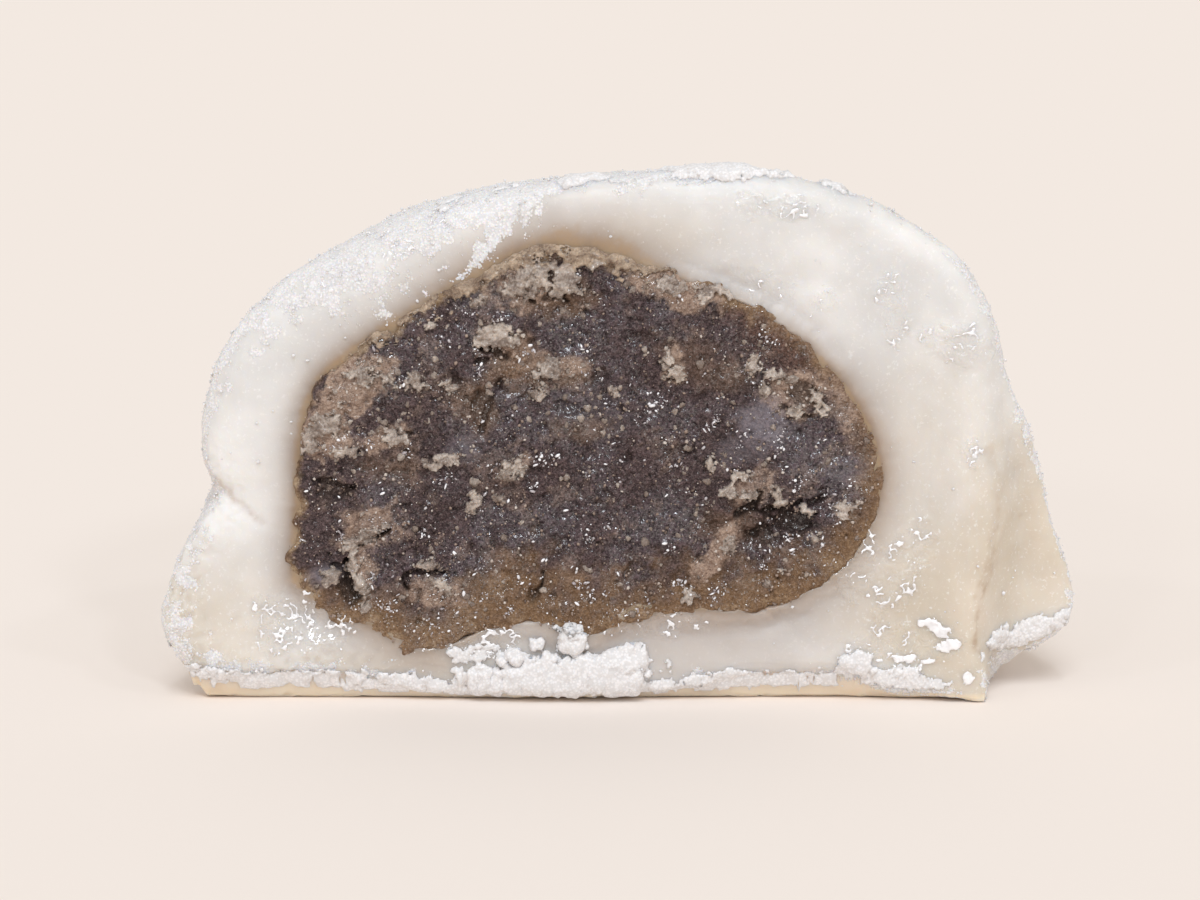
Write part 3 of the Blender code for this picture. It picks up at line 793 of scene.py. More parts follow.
def strewn(name, spots, radii, chance, flat=1.0, kind=GRAINS, tones=None, long=1.0):
    """One piece of rough grains, one at each spot, with their radii in millimetres. Flat ones lie
    against the cut face, and long ones are drawn out to up to this many times their width."""
    bm = bmesh.new()
    for spot in spots:
        bm.verts.new(spot)
    piece = new_piece(name, bm)
    shapes = chance.uniform(0.65, 1.3, (len(spots), 3)) * np.array(radii)[:, None] * MM
    shapes[:, 0] *= chance.uniform(1.0, long, len(spots))
    shapes[:, 1] *= flat
    turns = chance.uniform(-math.pi, math.pi, (len(spots), 3))
    turns[:, [0, 2]] *= 1.0 if flat == 1.0 else 0.1
    if tones is None:
        tones = chance.uniform(0.0, 1.0, len(spots))
    notes = piece.data.attributes
    notes.new("size", "FLOAT_VECTOR", "POINT").data.foreach_set("vector", shapes.ravel())
    notes.new("turn", "FLOAT_VECTOR", "POINT").data.foreach_set("vector", turns.ravel())
    notes.new("tone", "FLOAT", "POINT").data.foreach_set("value", tones)
    piece.modifiers.new("grains", "NODES").node_group = kind
    return piece


def surface_of(piece):
    mesh = piece.data
    return BVHTree.FromPolygons([v.co for v in mesh.vertices], [p.vertices for p in mesh.polygons])


def found_on(surface, across, up):
    """The point of a surface that shows at this place of the cut face."""
    start = on_cut_face(across, up) + Vector((0, -10 * MM, 0))
    return surface.ray_cast(start, Vector((0, 1, 0)))[0]


def share_of_area(piece):
    """How much of a piece's surface each of its vertices stands for."""
    area = np.zeros(len(piece.data.vertices))
    for face in piece.data.polygons:
        for corner in face.vertices:
            area[corner] += face.area
    return area


def spots_on(piece, weight, count, chance, lift=0.0):
    """Random places on a piece, more of them where the weight is higher, and lifted off it."""
    places, facing = points_of(piece)
    share = weight * share_of_area(piece)
    picked = chance.choice(len(places), count, p=share / share.sum())
    loose = chance.uniform(-0.12, 0.12, (count, 3)) * MM
    return places[picked] + loose + facing[picked] * (lift * MM), picked


LUMP_COUNT = 420
CRUMB_COUNT = 6500
BEAD_COUNT = 1500
chance = np.random.default_rng(11)
paste_surface = surface_of(paste)
spots, radii, tones = [], [], []
for across, up, half_width, half_height, turn, thick in FLAKES:
    lumps = 3 + int(4 * half_width * half_height)
    cosine, sine = math.cos(math.radians(turn)), math.sin(math.radians(turn))
    for _ in range(lumps):
        way, out = chance.uniform(0, math.tau), chance.uniform(0.7, 1.4)
        x, z = half_width * out * math.cos(way), half_height * out * math.sin(way)
        at = found_on(paste_surface, across + (x * cosine - z * sine) * MM / CAKE_WIDTH,
                      up + (x * sine + z * cosine) * MM / CAKE_HEIGHT)
        if at is not None:
            spots.append(at)
            radii.append(0.07 + 0.15 * chance.uniform(0, 1) ** 2)
            tones.append(chance.uniform(0.3, 1.0))
places, facing = points_of(paste)
in_cut = (facing[:, 1] < -0.4) & (places[:, 1] < CUT_FACE_Y + 2 * MM)
lump_weight = (0.3 + np.clip(swells(places, 2.6, 46, 2), 0, 1)) * in_cut
scattered, _ = spots_on(paste, lump_weight, LUMP_COUNT, chance, -0.06)
spots += [Vector(spot) for spot in scattered]
radii += list(chance.uniform(0.10, 0.26, len(scattered)))
tones += list(chance.uniform(0.0, 0.6, len(scattered)))
lumps = strewn("paste_lumps", spots, radii, chance, 0.6, LUMPS, tones)
bake_modifiers(lumps)

weight = (0.3 + 1.0 * dry + 1.2 * flaked + 0.8 * np.clip(swells(places, 3.0, 44, 2), 0, 1)) * in_cut
spots, picked = spots_on(paste, weight * (from_rim > 0.25), CRUMB_COUNT, chance, 0.0)
paleness = np.maximum(np.maximum(dry, flaked), 0.6 * brown)[picked]
tones = chance.uniform(0.0, 1.0, CRUMB_COUNT) * (1.0 - 0.7 * paleness) + 0.72 * paleness
sizes = 0.04 + 0.09 * chance.uniform(0, 1, CRUMB_COUNT) ** 3
fine_crumbs = strewn("paste_crumbs", spots, sizes, chance, tones=tones)
bake_modifiers(fine_crumbs)

clustered = np.clip(swells(places, 1.3, 45, 3) - 0.25, 0.02, 1) ** 1.5
bead_weight = clustered * (1.0 - 0.6 * dry) * in_cut * (from_rim > 0.7)
spots, _ = spots_on(paste, bead_weight, BEAD_COUNT, chance, 0.03)
sizes = 0.03 + 0.075 * chance.uniform(0, 1, BEAD_COUNT) ** 2.5
beads = strewn("syrup_beads", spots, sizes, chance, 0.8, BEADS, None, 2.5)
bake_modifiers(beads)

crumb_finish, tree, shader = new_finish("paste_crumb")
fibres = effect(tree, GRAIN, {"Width": 0.12})
crumb_tone = plus(tree, noted(tree, "tone"), times(tree, fibres["Mottle"], 0.3))
crumb_colour = ramp(tree, crumb_tone, 0.2, 1.0, (62, 47, 43), (158, 136, 122))
pale_few = stretched(tree, noted(tree, "tone"), 0.86, 0.99)
crumb_colour = mixed(tree, pale_few, crumb_colour, colour(206, 194, 184))
tree.links.new(crumb_colour, shader.inputs["Base Color"])
tree.links.new(stretched(tree, fibres["Mottle"], 0.3, 0.7, 0.25, 0.6), shader.inputs["Roughness"])
bead_finish, tree, shader = new_finish("syrup_bead")
fibres = effect(tree, GRAIN, {"Width": 0.12})
bead_tone = plus(tree, noted(tree, "tone"), times(tree, fibres["Mottle"], 0.3))
# Painted glints: the beads are coloured near white.
bead_glint_colour = ramp(tree, bead_tone, 0.3, 1.0, (170, 160, 162), (252, 250, 252))
tree.links.new(bead_glint_colour, shader.inputs["Base Color"])
set_same(shader, {"Roughness": 0.15, "Coat Weight": 0.8})
for piece, finish in ((lumps, flake_finish), (fine_crumbs, crumb_finish), (beads, bead_finish)):
    give_finish(piece, finish)
    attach(piece, "root")


# The dough skin is pounded sticky rice, steamed soft and wrapped round the paste by hand. It is
# milky and slightly see-through where it is cut, and its outside is rolled in starch.
SKIN_GRAIN = 0.5
skin = merged_copy("dough_skin", "rice_dough_skin")
evened(skin, SKIN_GRAIN, 3)
finer(skin, 2, is_cut_face)
places, facing = points_of(skin)
on_face = soft_step(0.3, 0.7, -facing[:, 1]) * (places[:, 1] < CUT_FACE_Y + 5 * MM)
to_paste = nearest_distance(places, paste_face)
outer_wall = places[(facing[:, 1] > -0.3) & (places[:, 1] < CUT_FACE_Y + 5 * MM) & (to_paste > 1.6)]
from_edge = nearest_distance(places, outer_wall)
outward, angle = round_core(places)

# The dough's inner lip laps over the edge of the paste and lies flush with it. How far it laps is
# in millimetres, by the angle round the core.
behind = behind_face(places)
lapping = soft_step(3.6, 1.0, to_paste) * soft_step(3.5, 1.5, behind)
flush = soft_step(2.4, 1.4, to_paste) * soft_step(1.6, 1.0, behind)
below = 1.0 - soft_step(62, 78, angle) * soft_step(206, 190, angle)
lip_level = 0.11 - 0.14 * below + 0.05 * swells(places, 1.4, 29, 3)
LAP = [
    (0, 0.75), (60, 0.75), (72, 1.2), (86, 1.3), (103, 1.15), (110, 1.5), (123, 1.5), (138, 1.2), (152, 1.7),
    (162, 1.65), (170, 1.1), (182, 0.85), (193, 1.3), (200, 1.3), (212, 0.65), (228, 0.1), (236, -0.2),
    (250, -0.3), (266, -0.2), (275, 0.2), (281, 0.9), (288, 1.1), (294, 0.6), (300, 0.0), (308, 0.35),
    (318, 0.45), (331, 0.05), (342, 0.15), (353, 0.6), (360, 0.75),
]
lap = by_angle(angle, LAP) + 0.18 * swells(places, 1.2, 30, 3)
places -= outward * (lap * lapping * MM)[:, None]
places[:, 1] += flush * (lip_level - behind) * MM
to_paste = np.maximum(nearest_distance(places, paste_face) - 0.35, 0.0)
on_face = np.maximum(on_face, soft_step(1.6, 1.0, to_paste) * soft_step(4.0, 2.0, behind))
near_cut = soft_step(9.0, 2.5, behind_face(places))

# How far the flour reaches in over the cut face, in millimetres, by the angle round the core.
FLOUR_REACH = [
    (0, 0.45), (20, 0.35), (35, 0.15), (50, 0.15), (62, 0.35), (70, 0.8), (80, 1.0), (92, 1.0), (101, 1.6),
    (107, 3.4), (113, 4.4), (125, 4.8), (137, 5.4), (148, 4.6), (156, 3.4), (164, 1.6), (175, 0.6),
    (186, 0.8), (198, 2.0), (210, 2.1), (225, 1.3), (240, 0.8), (270, 1.2), (290, 0.8), (310, 0.7),
    (325, 0.9), (333, 1.2), (339, 1.1), (344, 0.5), (352, 0.45), (360, 0.4),
]
# How thickly the outside is floured beside the cut, by the angle round the core.
FLOUR_OUTSIDE = [
    (0, 0.8), (15, 0.8), (28, 0.45), (45, 0.2), (60, 0.35), (72, 0.8), (100, 1.0), (150, 1.0), (165, 0.8),
    (180, 0.6), (190, 0.7), (210, 1.0), (330, 1.0), (345, 1.0), (360, 0.8),
]
# The flap's crease, where the dough was pulled round and folded over.
CREASE = [
    (0.892, 0.474), (0.904, 0.423), (0.906, 0.375), (0.903, 0.323), (0.900, 0.280), (0.893, 0.236),
    (0.887, 0.207), (0.883, 0.160), (0.884, 0.104),
]
ragged = swells(places, 1.6, 21, 3)
fine_ragged = swells(places, 0.5, 22, 2)
reach = by_angle(angle, FLOUR_REACH)
face_flour = soft_step(1.3, 0.1, from_edge / reach + 0.35 * ragged + 0.2 * fine_ragged)
outside_flour = by_angle(angle, FLOUR_OUTSIDE)
worn = swells(places, 6.0, 23, 3)
outside_flour = near_cut * outside_flour + (1.0 - near_cut) * (0.78 + 0.45 * worn)
outside_flour = np.clip(outside_flour + 0.25 * ragged, 0.0, 1.0)
off_crease = line_distance(places, CREASE)
outside_flour *= soft_step(1.2, 3.2, off_crease)
face_flour *= soft_step(0.8, 2.0, off_crease)
# Places where the flour lies thickest on the cut: across, up, half sizes, turn and strength.
DENSE_FLOUR = [
    (0.205, 0.805, 2.4, 1.3, 38, 0.7),
    (0.345, 0.930, 3.6, 2.4, 24, 0.9),
    (0.120, 0.660, 1.2, 2.4, 15, 0.35),
    (0.600, 0.985, 4.5, 0.6, 0, 0.5),
]
dense = patched(places, DENSE_FLOUR, 0.3 * ragged, 0.5)
curls = swells(places, 1.0, 36, 4) * (face_flour > 0.02) - (face_flour <= 0.02)
face_flour = 0.85 * soft_step(-0.1, 0.75, 0.85 * face_flour - 0.35 + 0.45 * curls + 0.5 * dense)
flour = np.where(on_face > 0, on_face * face_flour + (1.0 - on_face) * outside_flour, outside_flour)

# Heaps and dabs of flour on the cut face and its edge: across, up, half sizes, turn, thickness.
FLOUR_HEAPS = [
    (0.456, 0.058, 5.2, 1.3, 0, 0.95),
    (0.405, 0.048, 4.6, 0.9, 0, 0.7),
    (0.447, 0.118, 0.9, 1.2, 0, 0.9),
    (0.408, 0.112, 0.5, 0.5, 0, 0.6),
    (0.318, 0.098, 0.5, 0.35, 0, 0.4),
    (0.500, 0.085, 1.6, 0.8, 0, 0.8),
    (0.340, 0.095, 1.5, 0.6, 10, 0.25),
    (0.753, 0.070, 1.0, 0.9, 0, 0.5),
    (0.790, 0.045, 3.6, 0.7, -6, 0.35),
    (0.915, 0.100, 1.2, 0.6, 0, 0.6),
    (0.950, 0.118, 2.8, 0.8, 16, 0.6),
    (0.340, 0.968, 3.4, 0.6, 26, 0.3),
    (0.370, 0.985, 1.8, 0.8, 12, 0.85),
    (0.460, 0.990, 2.2, 0.6, 5, 0.5),
    (0.591, 0.998, 4.4, 0.5, -3, 0.5),
    (0.725, 0.975, 1.1, 0.4, -20, 0.45),
]


def heaps_at(places, beside, uneven):
    """How thickly flour is heaped at each place. beside says how close to the cut face it is."""
    thickness = patched(places, FLOUR_HEAPS, uneven, 0.3) * beside
    thickness *= soft_step(0.5, 1.0, off_board(places) + 0.5 * uneven)
    _, way = round_core(places)
    along_foot = soft_step(196, 206, way) * soft_step(349, 343, way)
    along_foot *= soft_step(1.2, 0.6, line_distance(places, CREASE))
    along_foot = np.maximum(along_foot, soft_step(206, 212, way) * soft_step(319, 316, way))
    reach = np.interp(way, (0, 200, 225, 240, 310, 330, 340, 360), (0.8, 0.6, 0.7, 0.9, 0.9, 0.85, 0.8, 0.8))
    rim = soft_step(reach, 0.4 * reach, nearest_distance(places, outer_wall) + 0.8 * uneven)
    rim *= soft_step(1.5, 0.8, behind_face(places))
    return np.maximum(thickness, 0.32 * rim * along_foot * beside)


beside_cut = soft_step(5.0, 3.0, behind_face(places)) * (to_paste > 0.4)
heaped = heaps_at(places, beside_cut, 0.3 * ragged + 0.2 * fine_ragged)
flour = np.clip(np.maximum(flour, 1.5 * heaped), 0.0, 1.0)

# The halo is syrup that has soaked from the paste into the dough: reach in millimetres.
HALO_REACH = [
    (0, 0.9), (30, 0.8), (60, 1.0), (82, 2.2), (110, 2.4), (135, 1.5), (160, 0.95), (180, 0.9), (205, 0.9),
    (230, 0.8), (270, 0.8), (300, 0.8), (330, 0.8), (360, 0.9),
]
halo_reach = by_angle(angle, HALO_REACH)
halo = np.exp(-to_paste / (0.75 * halo_reach) + 0.10 * ragged) * on_face
# Nearest the paste the dough is soaked through, and further out a painted shade stands for the dark
# paste showing through the thin dough.
SOAKED_REACH = [
    (0, 0.2), (50, 0.3), (66, 0.8), (78, 1.1), (92, 1.0), (106, 0.8), (122, 0.7), (150, 0.5), (180, 0.35),
    (230, 0.3), (360, 0.2),
]
soaked_share = to_paste / by_angle(angle, SOAKED_REACH) + 0.35 * ragged + 0.2 * fine_ragged
soaked = soft_step(1.15, 0.15, soaked_share) * on_face
SHADE_REACH = [
    (0, 1.4), (30, 1.1), (60, 0.9), (90, 1.0), (120, 0.8), (150, 0.7), (180, 0.8), (205, 1.2), (240, 2.6),
    (262, 3.6), (290, 4.8), (312, 4.2), (326, 2.8), (340, 1.6), (360, 1.4),
]
shaded = np.exp(-to_paste / by_angle(angle, SHADE_REACH)) * on_face

# Ivory tones, partly the thicker dough's and partly painted shade: across, up, half sizes, turn and strength.
IVORY_AND_SHADE_AREAS = [
    (0.050, 0.120, 5.0, 5.0, 0, 0.7),
    (0.850, 0.170, 6.5, 7.5, 15, 1.0),
    (0.930, 0.250, 6.0, 9.0, 0, 1.0),
    (0.830, 0.420, 4.5, 8.0, 0, 0.5),
    (0.530, 0.880, 4.0, 1.6, 0, 0.35),
    (0.300, 0.060, 14.0, 2.0, 0, 0.5),
]
ivory_and_shade = patched(places, IVORY_AND_SHADE_AREAS, 0.1 * ragged, 0.7)

# Wet spots, where the moist inside of the dough was smeared by the knife.
WET_SPOTS = [
    (0.163, 0.145, 4.2, 1.9, 0, 0.85),
    (0.300, 0.130, 2.2, 1.0, -10, 0.6),
    (0.352, 0.128, 2.4, 1.5, 5, 0.8),
    (0.520, 0.150, 4.5, 0.8, 0, 0.7),
    (0.752, 0.265, 1.5, 2.4, -15, 1.0),
    (0.802, 0.262, 1.5, 3.2, -18, 1.0),
    (0.854, 0.681, 2.3, 1.1, -10, 1.0),
    (0.660, 0.938, 3.4, 0.8, -6, 0.85),
    (0.712, 0.765, 1.0, 0.7, 0, 0.8),
    (0.785, 0.745, 1.0, 2.6, 0, 0.65),
    (0.870, 0.485, 0.7, 0.9, 0, 0.8),
    (0.660, 0.780, 3.0, 1.0, -28, 0.4),
    (0.800, 0.110, 4.0, 1.5, 0, 0.6),
    (0.250, 0.880, 6.0, 2.0, 32, 0.5),
]
wet = patched(places, WET_SPOTS, 0.35 * ragged, 0.4) * on_face

NICK = [(0.050, 0.435), (0.062, 0.425), (0.085, 0.385), (0.113, 0.346)]
off_nick = line_distance(places, NICK)
height = (places[:, 2] - cake_low.z) / CAKE_HEIGHT
# Painted shade along the flap's crease and in the nick, stronger low down.
crease_shade_share = (0.35 + 0.65 * soft_step(0.42, 0.28, height)) * soft_step(0.60, 0.05, off_crease + 0.3 * ragged)
painted_crease_shade = np.maximum(0.7 * crease_shade_share, 0.5 * soft_step(0.45, 0.0, off_nick))
painted_crease_shade *= np.maximum(on_face, 0.4) * (places[:, 1] < CUT_FACE_Y + 6 * MM)

wrinkles = 1.0 - np.abs(swells(places, 0.9, 25, 2))
wrinkled_edge = soft_step(3.2, 0.8, from_edge) * soft_step(170, 190, angle) * soft_step(236, 220, angle)
relief = 0.10 * swells(places, 6.5, 26, 2) + 0.035 * swells(places, 2.2, 27, 2)
relief += 0.16 * wrinkled_edge * (wrinkles - 0.6)
relief += 0.08 * wet * (1.0 - np.abs(swells(places, 1.2, 28, 3)) - 0.6)
relief -= 0.14 * soft_step(0.9, 0.0, off_crease) + 0.12 * soft_step(0.6, 0.0, off_nick)
packed, _ = crumbs_over(places, 0.55, 31)
clinging = flour * soft_step(0.25, 0.05, heaped)
relief += clinging * (0.09 * (packed - 0.3) + 0.06 * fine_ragged + 0.03 * swells(places, 0.25, 32))
relief += 0.25 * heaped
outside = 1.0 - on_face
relief += outside * (0.18 * swells(places, 9.0, 33, 2) + 0.06 * swells(places, 2.5, 34, 3))
relief *= soft_step(0.05, 0.6, off_board(places) + 0.2)
relief *= soft_step(0.0, 0.8, to_paste)
places += facing * (relief * MM)[:, None]
# The front rim is drawn down towards the board, over this height in millimetres.
RIM_DROP = 1.8
low = np.clip((places[:, 2] - cake_low.z) / (RIM_DROP * MM), 0.0, 1.0)
sunk = np.where(places[:, 1] < CUT_FACE_Y + 5 * MM, low - low ** 2.6, 0.0)
above = places[:, 2] - cake_low.z - RIM_DROP * MM * sunk
settled = soft_step(0.6, 1.5, behind_face(places)) * soft_step(0.1, -0.3, facing[:, 2])
above *= 1.0 - settled * soft_step(2.4, 1.5, above / MM)
places[:, 2] = cake_low.z + np.maximum(above, 0.0)
# Painted shadow: a warm shade on the underside behind the front rim and on the strip along the foot.
painted_foot_shadow = soft_step(-0.2, -0.6, facing[:, 2]) * soft_step(3.0, 2.0, above / MM)
painted_foot_shadow *= soft_step(0.4, 0.9, behind_face(places)) * soft_step(4.0, 1.5, behind_face(places))
painted_foot_shadow = np.maximum(painted_foot_shadow, on_face * soft_step(0.70, 0.35, above / MM) * soft_step(200, 206, angle))
flour *= 1.0 - painted_foot_shadow
move_points(skin, places)
for name, values in (("flour", flour), ("halo", halo), ("shaded", shaded), ("ivory_and_shade", ivory_and_shade), ("wet", wet),
                     ("painted_crease_shade", painted_crease_shade), ("heaped", heaped), ("painted_foot_shadow", painted_foot_shadow), ("soaked", soaked)):
    note_on(skin, name, values)

# Flour: fine starch that clings in grains. It gives where the grains lie, their colour and relief.
FLOUR, flour_in, flour_out = new_effect(
    "flour", {"Amount": 0.5},
    {"Cover": "NodeSocketFloat", "Colour": "NodeSocketColor", "Height": "NodeSocketFloat"},
)
flour_place = add(FLOUR, "ShaderNodeTexCoord").outputs["Object"]
flour_coarse = noise_over(FLOUR, flour_place, 2300.0, 4.0, 0.65)
flour_fine = add(FLOUR, "ShaderNodeTexVoronoi", {"Vector": flour_place, "Scale": 5200.0})
flour_tops = stretched(FLOUR, flour_fine.outputs["Distance"], 0.7, 0.15)
flour_grains = plus(FLOUR, times(FLOUR, flour_coarse, 0.75), times(FLOUR, flour_tops, 0.3))
flour_level = plus(FLOUR, times(FLOUR, flour_in["Amount"], 0.9), flour_grains)
FLOUR.links.new(stretched(FLOUR, flour_level, 0.78, 1.02), flour_out["Cover"])
FLOUR.links.new(ramp(FLOUR, flour_grains, 0.36, 0.66, (223, 220, 219), (240, 237, 237)),
                flour_out["Colour"])
FLOUR.links.new(flour_grains, flour_out["Height"])

dough_finish, tree, shader = new_finish("rice_dough")
place = add(tree, "ShaderNodeTexCoord").outputs["Object"]
clouds = noise_over(tree, place, 170.0, 3.0)
milky_dough = ramp(tree, clouds, 0.35, 0.68, (219, 216, 213), (234, 231, 228))
dough_flecks = noise_over(tree, place, 4200.0, 3.0, 0.6)
fleck = stretched(tree, dough_flecks, 0.56, 0.74, 0.0, 0.6)
# The ivory tone is partly the thicker dough's own colour and partly painted shade.
shaded_ivory_dough = ramp(tree, clouds, 0.35, 0.68, (211, 199, 182), (222, 211, 196))
dough_colour = mixed(tree, noted(tree, "ivory_and_shade"), milky_dough, shaded_ivory_dough)
dough_colour = mixed(tree, fleck, dough_colour, colour(244, 242, 240))
dough_colour = tinted(tree, dough_colour, "shaded", 0.85, colour(160, 143, 131))
dough_colour = tinted(tree, dough_colour, "halo", 0.9, colour(150, 122, 96))
soak = times(tree, noted(tree, "soaked"), stretched(tree, dough_flecks, 0.3, 0.7, 0.8, 0.5))
dough_colour = mixed(tree, soak, dough_colour, colour(176, 148, 116))
# Painted shade in the crease and the nick, broken up by noise.
crease_shade_noise = noise_over(tree, place, 1500.0, 4.0)
crease_shade_mix = times(tree, noted(tree, "painted_crease_shade"), stretched(tree, crease_shade_noise, 0.35, 0.75, 0.15, 0.9))
dough_colour = mixed(tree, crease_shade_mix, dough_colour, colour(176, 146, 116))
# Painted shadow along the foot and under the front rim.
dough_colour = mixed(tree, noted(tree, "painted_foot_shadow"), dough_colour, colour(240, 220, 195))
dust = effect(tree, FLOUR, {"Amount": noted(tree, "flour")})
dough_colour = mixed(tree, dust["Cover"], dough_colour, dust["Colour"])
glints = effect(tree, GLINTS, {"Wetness": noted(tree, "wet"), "Width": 0.8, "Dry roughness": 0.42})
rough = add(tree, "ShaderNodeMix", {0: dust["Cover"], 2: glints["Roughness"], 3: 0.9},
            data_type="FLOAT").outputs[0]
bare = sums(tree, "SUBTRACT", 1.0, dust["Cover"])
tree.links.new(dough_colour, shader.inputs["Base Color"])
tree.links.new(rough, shader.inputs["Roughness"])
tree.links.new(times(tree, bare, glints["Coat"]), shader.inputs["Coat Weight"])
set_same(shader, {"Coat Roughness": 0.08, "Coat IOR": 1.9, "Subsurface Weight": 0.75,
                  "Subsurface Radius": (1.0, 0.82, 0.62), "Subsurface Scale": 1.6 * MM})
soft_grain = effect(tree, GRAIN, {"Width": 0.6})
dough_height = add(tree, "ShaderNodeMix", {0: dust["Cover"], 2: times(tree, soft_grain["Mottle"], 0.25),
                                           3: times(tree, dust["Height"], 1.6)},
                   data_type="FLOAT").outputs[0]
wet_height = times(tree, times(tree, noted(tree, "wet"), glints["Height"]), 2.4)
dough_bump = add(tree, "ShaderNodeBump", {"Height": plus(tree, dough_height, wet_height), "Strength": 0.8,
                                          "Distance": 0.00010})
tree.links.new(dough_bump.outputs[0], shader.inputs["Normal"])
give_finish(skin, dough_finish)
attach(skin, "root")
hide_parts("dough_skin")


# The flour is loose starch. Along the foot and the shoulder it has caked in crumbly crusts and
# heaps, and between them it lies in single grains that stick to the damp dough.
CRUST_UNDER = 0.3
CRUST_LEAST = 0.12
GRAIN_COUNT = 6400
GRAINS_ON_CRUST = 250
chance = np.random.default_rng(23)
crust = part_of(skin, "flour_crust", "heaped", 0.02)
places, facing = points_of(crust)
uneven = shaken(places, 0.45, 71)
clod_tops, clods = crumbs_over(uneven, 1.0, 72)
bit_tops, bits = crumbs_over(uneven, 0.36, 73)
middles = 0.1 * clods + 0.4 * bits + 0.5 * places
beside = soft_step(5.0, 3.0, behind_face(middles)) * (nearest_distance(middles, paste_face) > 0.5)
thick = heaps_at(middles, beside, 0.3 * swells(middles, 1.6, 21, 3) + 0.2 * swells(middles, 0.5, 22, 2))
raised = off_board(places)
thick *= soft_step(0.2, 0.5, raised + 0.3 * swells(places, 0.8, 79, 2))
crack = soft_step(0.06, 0.0, clod_tops) * soft_step(-0.1, 0.3, swells(places, 1.5, 77))
body = read_note(crust, "heaped")
rise = 0.04 + 0.5 * body * soft_step(0.1, 0.7, body)
rise += (0.3 + 0.7 * body) * (0.06 * swells(clods, 0.13, 74) + 0.03 * swells(bits, 0.07, 75))
rise += 0.04 * soft_step(0.0, 0.25, clod_tops) + 0.015 * soft_step(0.0, 0.3, bit_tops) - 0.10 * crack
rise += 0.025 * swells(places, 0.22, 76, 2) + 0.06 * swells(places, 0.9, 78, 2)
rise *= 0.25 + 0.75 * soft_step(0.2, 1.1, raised)
rise = np.where(thick > CRUST_LEAST, rise, -0.6 * CRUST_UNDER)
places += facing * (rise * MM)[:, None]
places[:, 2] = np.maximum(places[:, 2], cake_low.z)
move_points(crust, places)
# Painted shade: the cracks between clods are noted for a darker, warmer tint.
note_on(crust, "painted_crack_shade", crack)
note_on(crust, "kept", thick)
closed(crust, CRUST_UNDER, "kept", CRUST_LEAST)
places, facing = points_of(crust)
places[:, 2] = np.maximum(places[:, 2], cake_low.z)
move_points(crust, places)

places, facing = points_of(skin)
clumping = np.clip(0.5 + 0.9 * swells(places, 1.2, 53, 2), 0.05, 1.5)
ahead = places[:, 1] < CUT_FACE_Y + 6 * MM
grain_weight = flour * clumping * np.where(ahead, 1.0, 0.12) + 0.016 * on_face
grain_weight *= (to_paste > 0.3) | ~ahead
spots, _ = spots_on(skin, grain_weight * (heaped < 0.1), GRAIN_COUNT, chance, 0.02)
places, facing = points_of(crust)
open_to_air = np.clip(0.3 - facing[:, 1] + facing[:, 2], 0, 1)
on_top, _ = spots_on(crust, open_to_air, GRAINS_ON_CRUST, chance, -0.03)
sizes = np.concatenate([0.035 + 0.10 * chance.uniform(0, 1, len(spots)) ** 2.5,
                        0.03 + 0.07 * chance.uniform(0, 1, len(on_top)) ** 2.5])
loose = strewn("flour_grains", np.concatenate([spots, on_top]), sizes, chance)
bake_modifiers(loose)

flour_finish, tree, shader = new_finish("starch_flour")
dust = effect(tree, FLOUR, {"Amount": 1.0})
# Painted shade in the cracks of the crust.
flour_colour = mixed(tree, times(tree, noted(tree, "painted_crack_shade"), 0.5), dust["Colour"], colour(206, 194, 184))
tree.links.new(flour_colour, shader.inputs["Base Color"])
set_same(shader, {"Roughness": 0.95, "Specular IOR Level": 0.2, "Subsurface Weight": 0.4,
                  "Subsurface Radius": (1.0, 0.9, 0.8), "Subsurface Scale": 0.3 * MM})
flour_bump = add(tree, "ShaderNodeBump", {"Height": dust["Height"], "Strength": 0.7, "Distance": 0.00005})
tree.links.new(flour_bump.outputs[0], shader.inputs["Normal"])
for piece in (crust, loose):
    give_finish(piece, flour_finish)
    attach(piece, "root")


# Where the knife pressed the moist dough, a thin glossy film lies on it that has broken up into
# curved smears and dabs. Its near-white colour is a painted glint over the film's real relief and gloss.
chance = np.random.default_rng(31)
places, facing = points_of(skin)
# Flat dabs: across, up, half width, half height and turn.
GLINT_DABS = [
    (0.840, 0.142, 0.85, 0.42, -22), (0.852, 0.110, 0.75, 0.36, 12), (0.806, 0.083, 0.80, 0.30, 0),
    (0.874, 0.048, 0.36, 0.30, 0), (0.822, 0.150, 0.30, 0.22, 30), (0.830, 0.078, 0.40, 0.20, 0),
]


def dabs_at(places):
    """How thickly the glossy film is dabbed on at each place, from 0 to 1."""
    torn_dab = 0.5 * swells(places, 0.6, 58, 3)
    patches = [oval(places, across, up, half_width, half_height, turn, torn_dab, 0.35)
               for across, up, half_width, half_height, turn in GLINT_DABS]
    return np.max(patches, axis=0)


film_note = wet * soft_step(-0.35, 0.35, swells(places, 1.7, 55, 2))
note_on(skin, "film", np.maximum(film_note, 1.2 * dabs_at(places)) * (facing[:, 1] < -0.4))
film = part_of(skin, "wet_glint_film", "film", 0.25, 2)
places, facing = points_of(film)
strokes = 1.0 - 2.2 * np.abs(swells(places, 0.65, 56, 2))
broken = 0.8 * swells(places, 0.42, 57, 2) + read_note(film, "film") - 0.62
rise = np.clip(np.minimum(0.40 * (strokes - 0.47), 0.35 * broken), -0.05, 0.10)
rise = np.maximum(rise, np.clip(0.3 * (dabs_at(places) - 0.4), -0.05, 0.13) + 0.02 * strokes)
places += facing * (rise * MM)[:, None]
move_points(film, places)
note_on(film, "above", rise)
closed(film, 0.06, "above", -0.01)
film_finish, tree, shader = new_finish("wet_glint_film")
# Painted glints: the film is coloured near white.
patches = effect(tree, GRAIN, {"Width": 0.5})
tree.links.new(ramp(tree, patches["Mottle"], 0.35, 0.65, (236, 233, 234), (253, 252, 253)),
               shader.inputs["Base Color"])
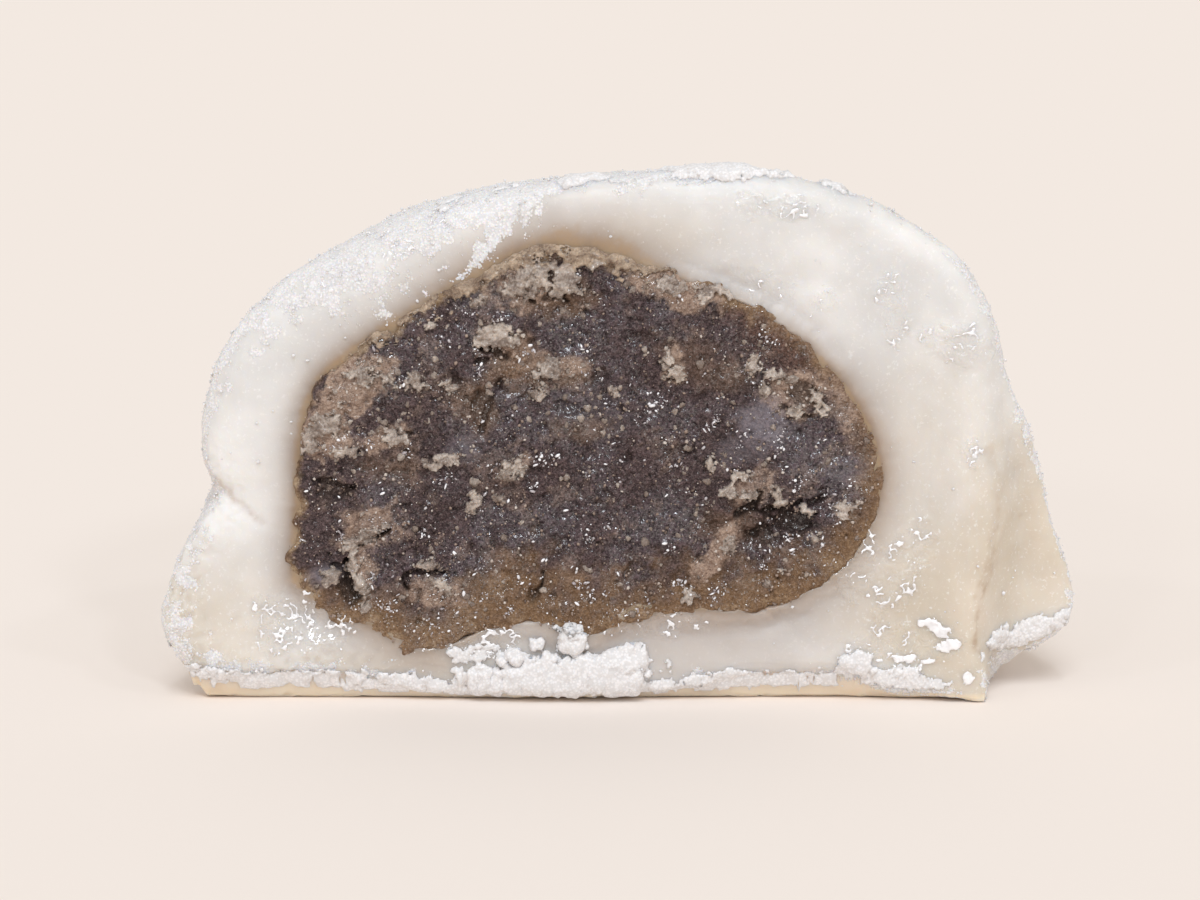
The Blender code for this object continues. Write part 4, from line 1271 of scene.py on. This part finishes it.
set_same(shader, {"Roughness": 0.15, "Coat Weight": 1.0, "Coat IOR": 1.9, "Coat Roughness": 0.08})
give_finish(film, film_finish)
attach(film, "root")


# The surface it rests on is a plain pale board of matt card. Soft daylight falls on it from above
# and in front, and from lamps at both sides.
FLOOR_SIZE = 6.0
bm = bmesh.new()
bmesh.ops.create_grid(bm, x_segments=4, y_segments=4, size=FLOOR_SIZE / 2)
bmesh.ops.translate(bm, verts=bm.verts, vec=(0, 0, cake_low.z - 0.05 * MM))
floor = new_piece("floor", bm)
floor_finish, tree, shader = new_finish("floor")
set_same(shader, {"Base Color": colour(244, 234, 226), "Roughness": 1.0, "Specular IOR Level": 0.0})
give_finish(floor, floor_finish)

world = bpy.data.worlds.new("daylight")
bpy.context.scene.world = world
world.use_nodes = True
world.node_tree.nodes["Background"].inputs["Color"].default_value = (1.0, 0.945, 0.885, 1.0)
world.node_tree.nodes["Background"].inputs["Strength"].default_value = 0.60
bpy.context.scene.view_settings.view_transform = "Standard"

DAYLIGHT = (0.885, 0.96, 1.04)
# Windows round the cake: name, compass angle from straight in front (left is negative), height
# angle, strength, width of the window in degrees.
WINDOWS = [
    ("high_window", -1, 50, 1.08, 25),
    ("front_window", -7, 17, 0.14, 6),
    ("left_window", -24, 24, 0.15, 6),
    ("right_window", 24, 28, 0.30, 6),
    ("left_lamp", -52, 40, 0.08, 4),
    ("right_lamp", 48, 44, 0.12, 4),
    ("top_lamp", 4, 66, 0.20, 4),
]
for name, around, height, strength, width in WINDOWS:
    light = bpy.data.lights.new(name, "SUN")
    light.energy = strength
    light.color = DAYLIGHT
    light.angle = math.radians(width)
    lamp = bpy.data.objects.new(name, light)
    turn, lift = math.radians(around), math.radians(height)
    from_lamp = Vector((-math.sin(turn) * math.cos(lift), math.cos(turn) * math.cos(lift), -math.sin(lift)))
    lamp.rotation_euler = from_lamp.to_track_quat("-Z", "Y").to_euler()
    bpy.context.scene.collection.objects.link(lamp)

bpy.context.view_layer.update()
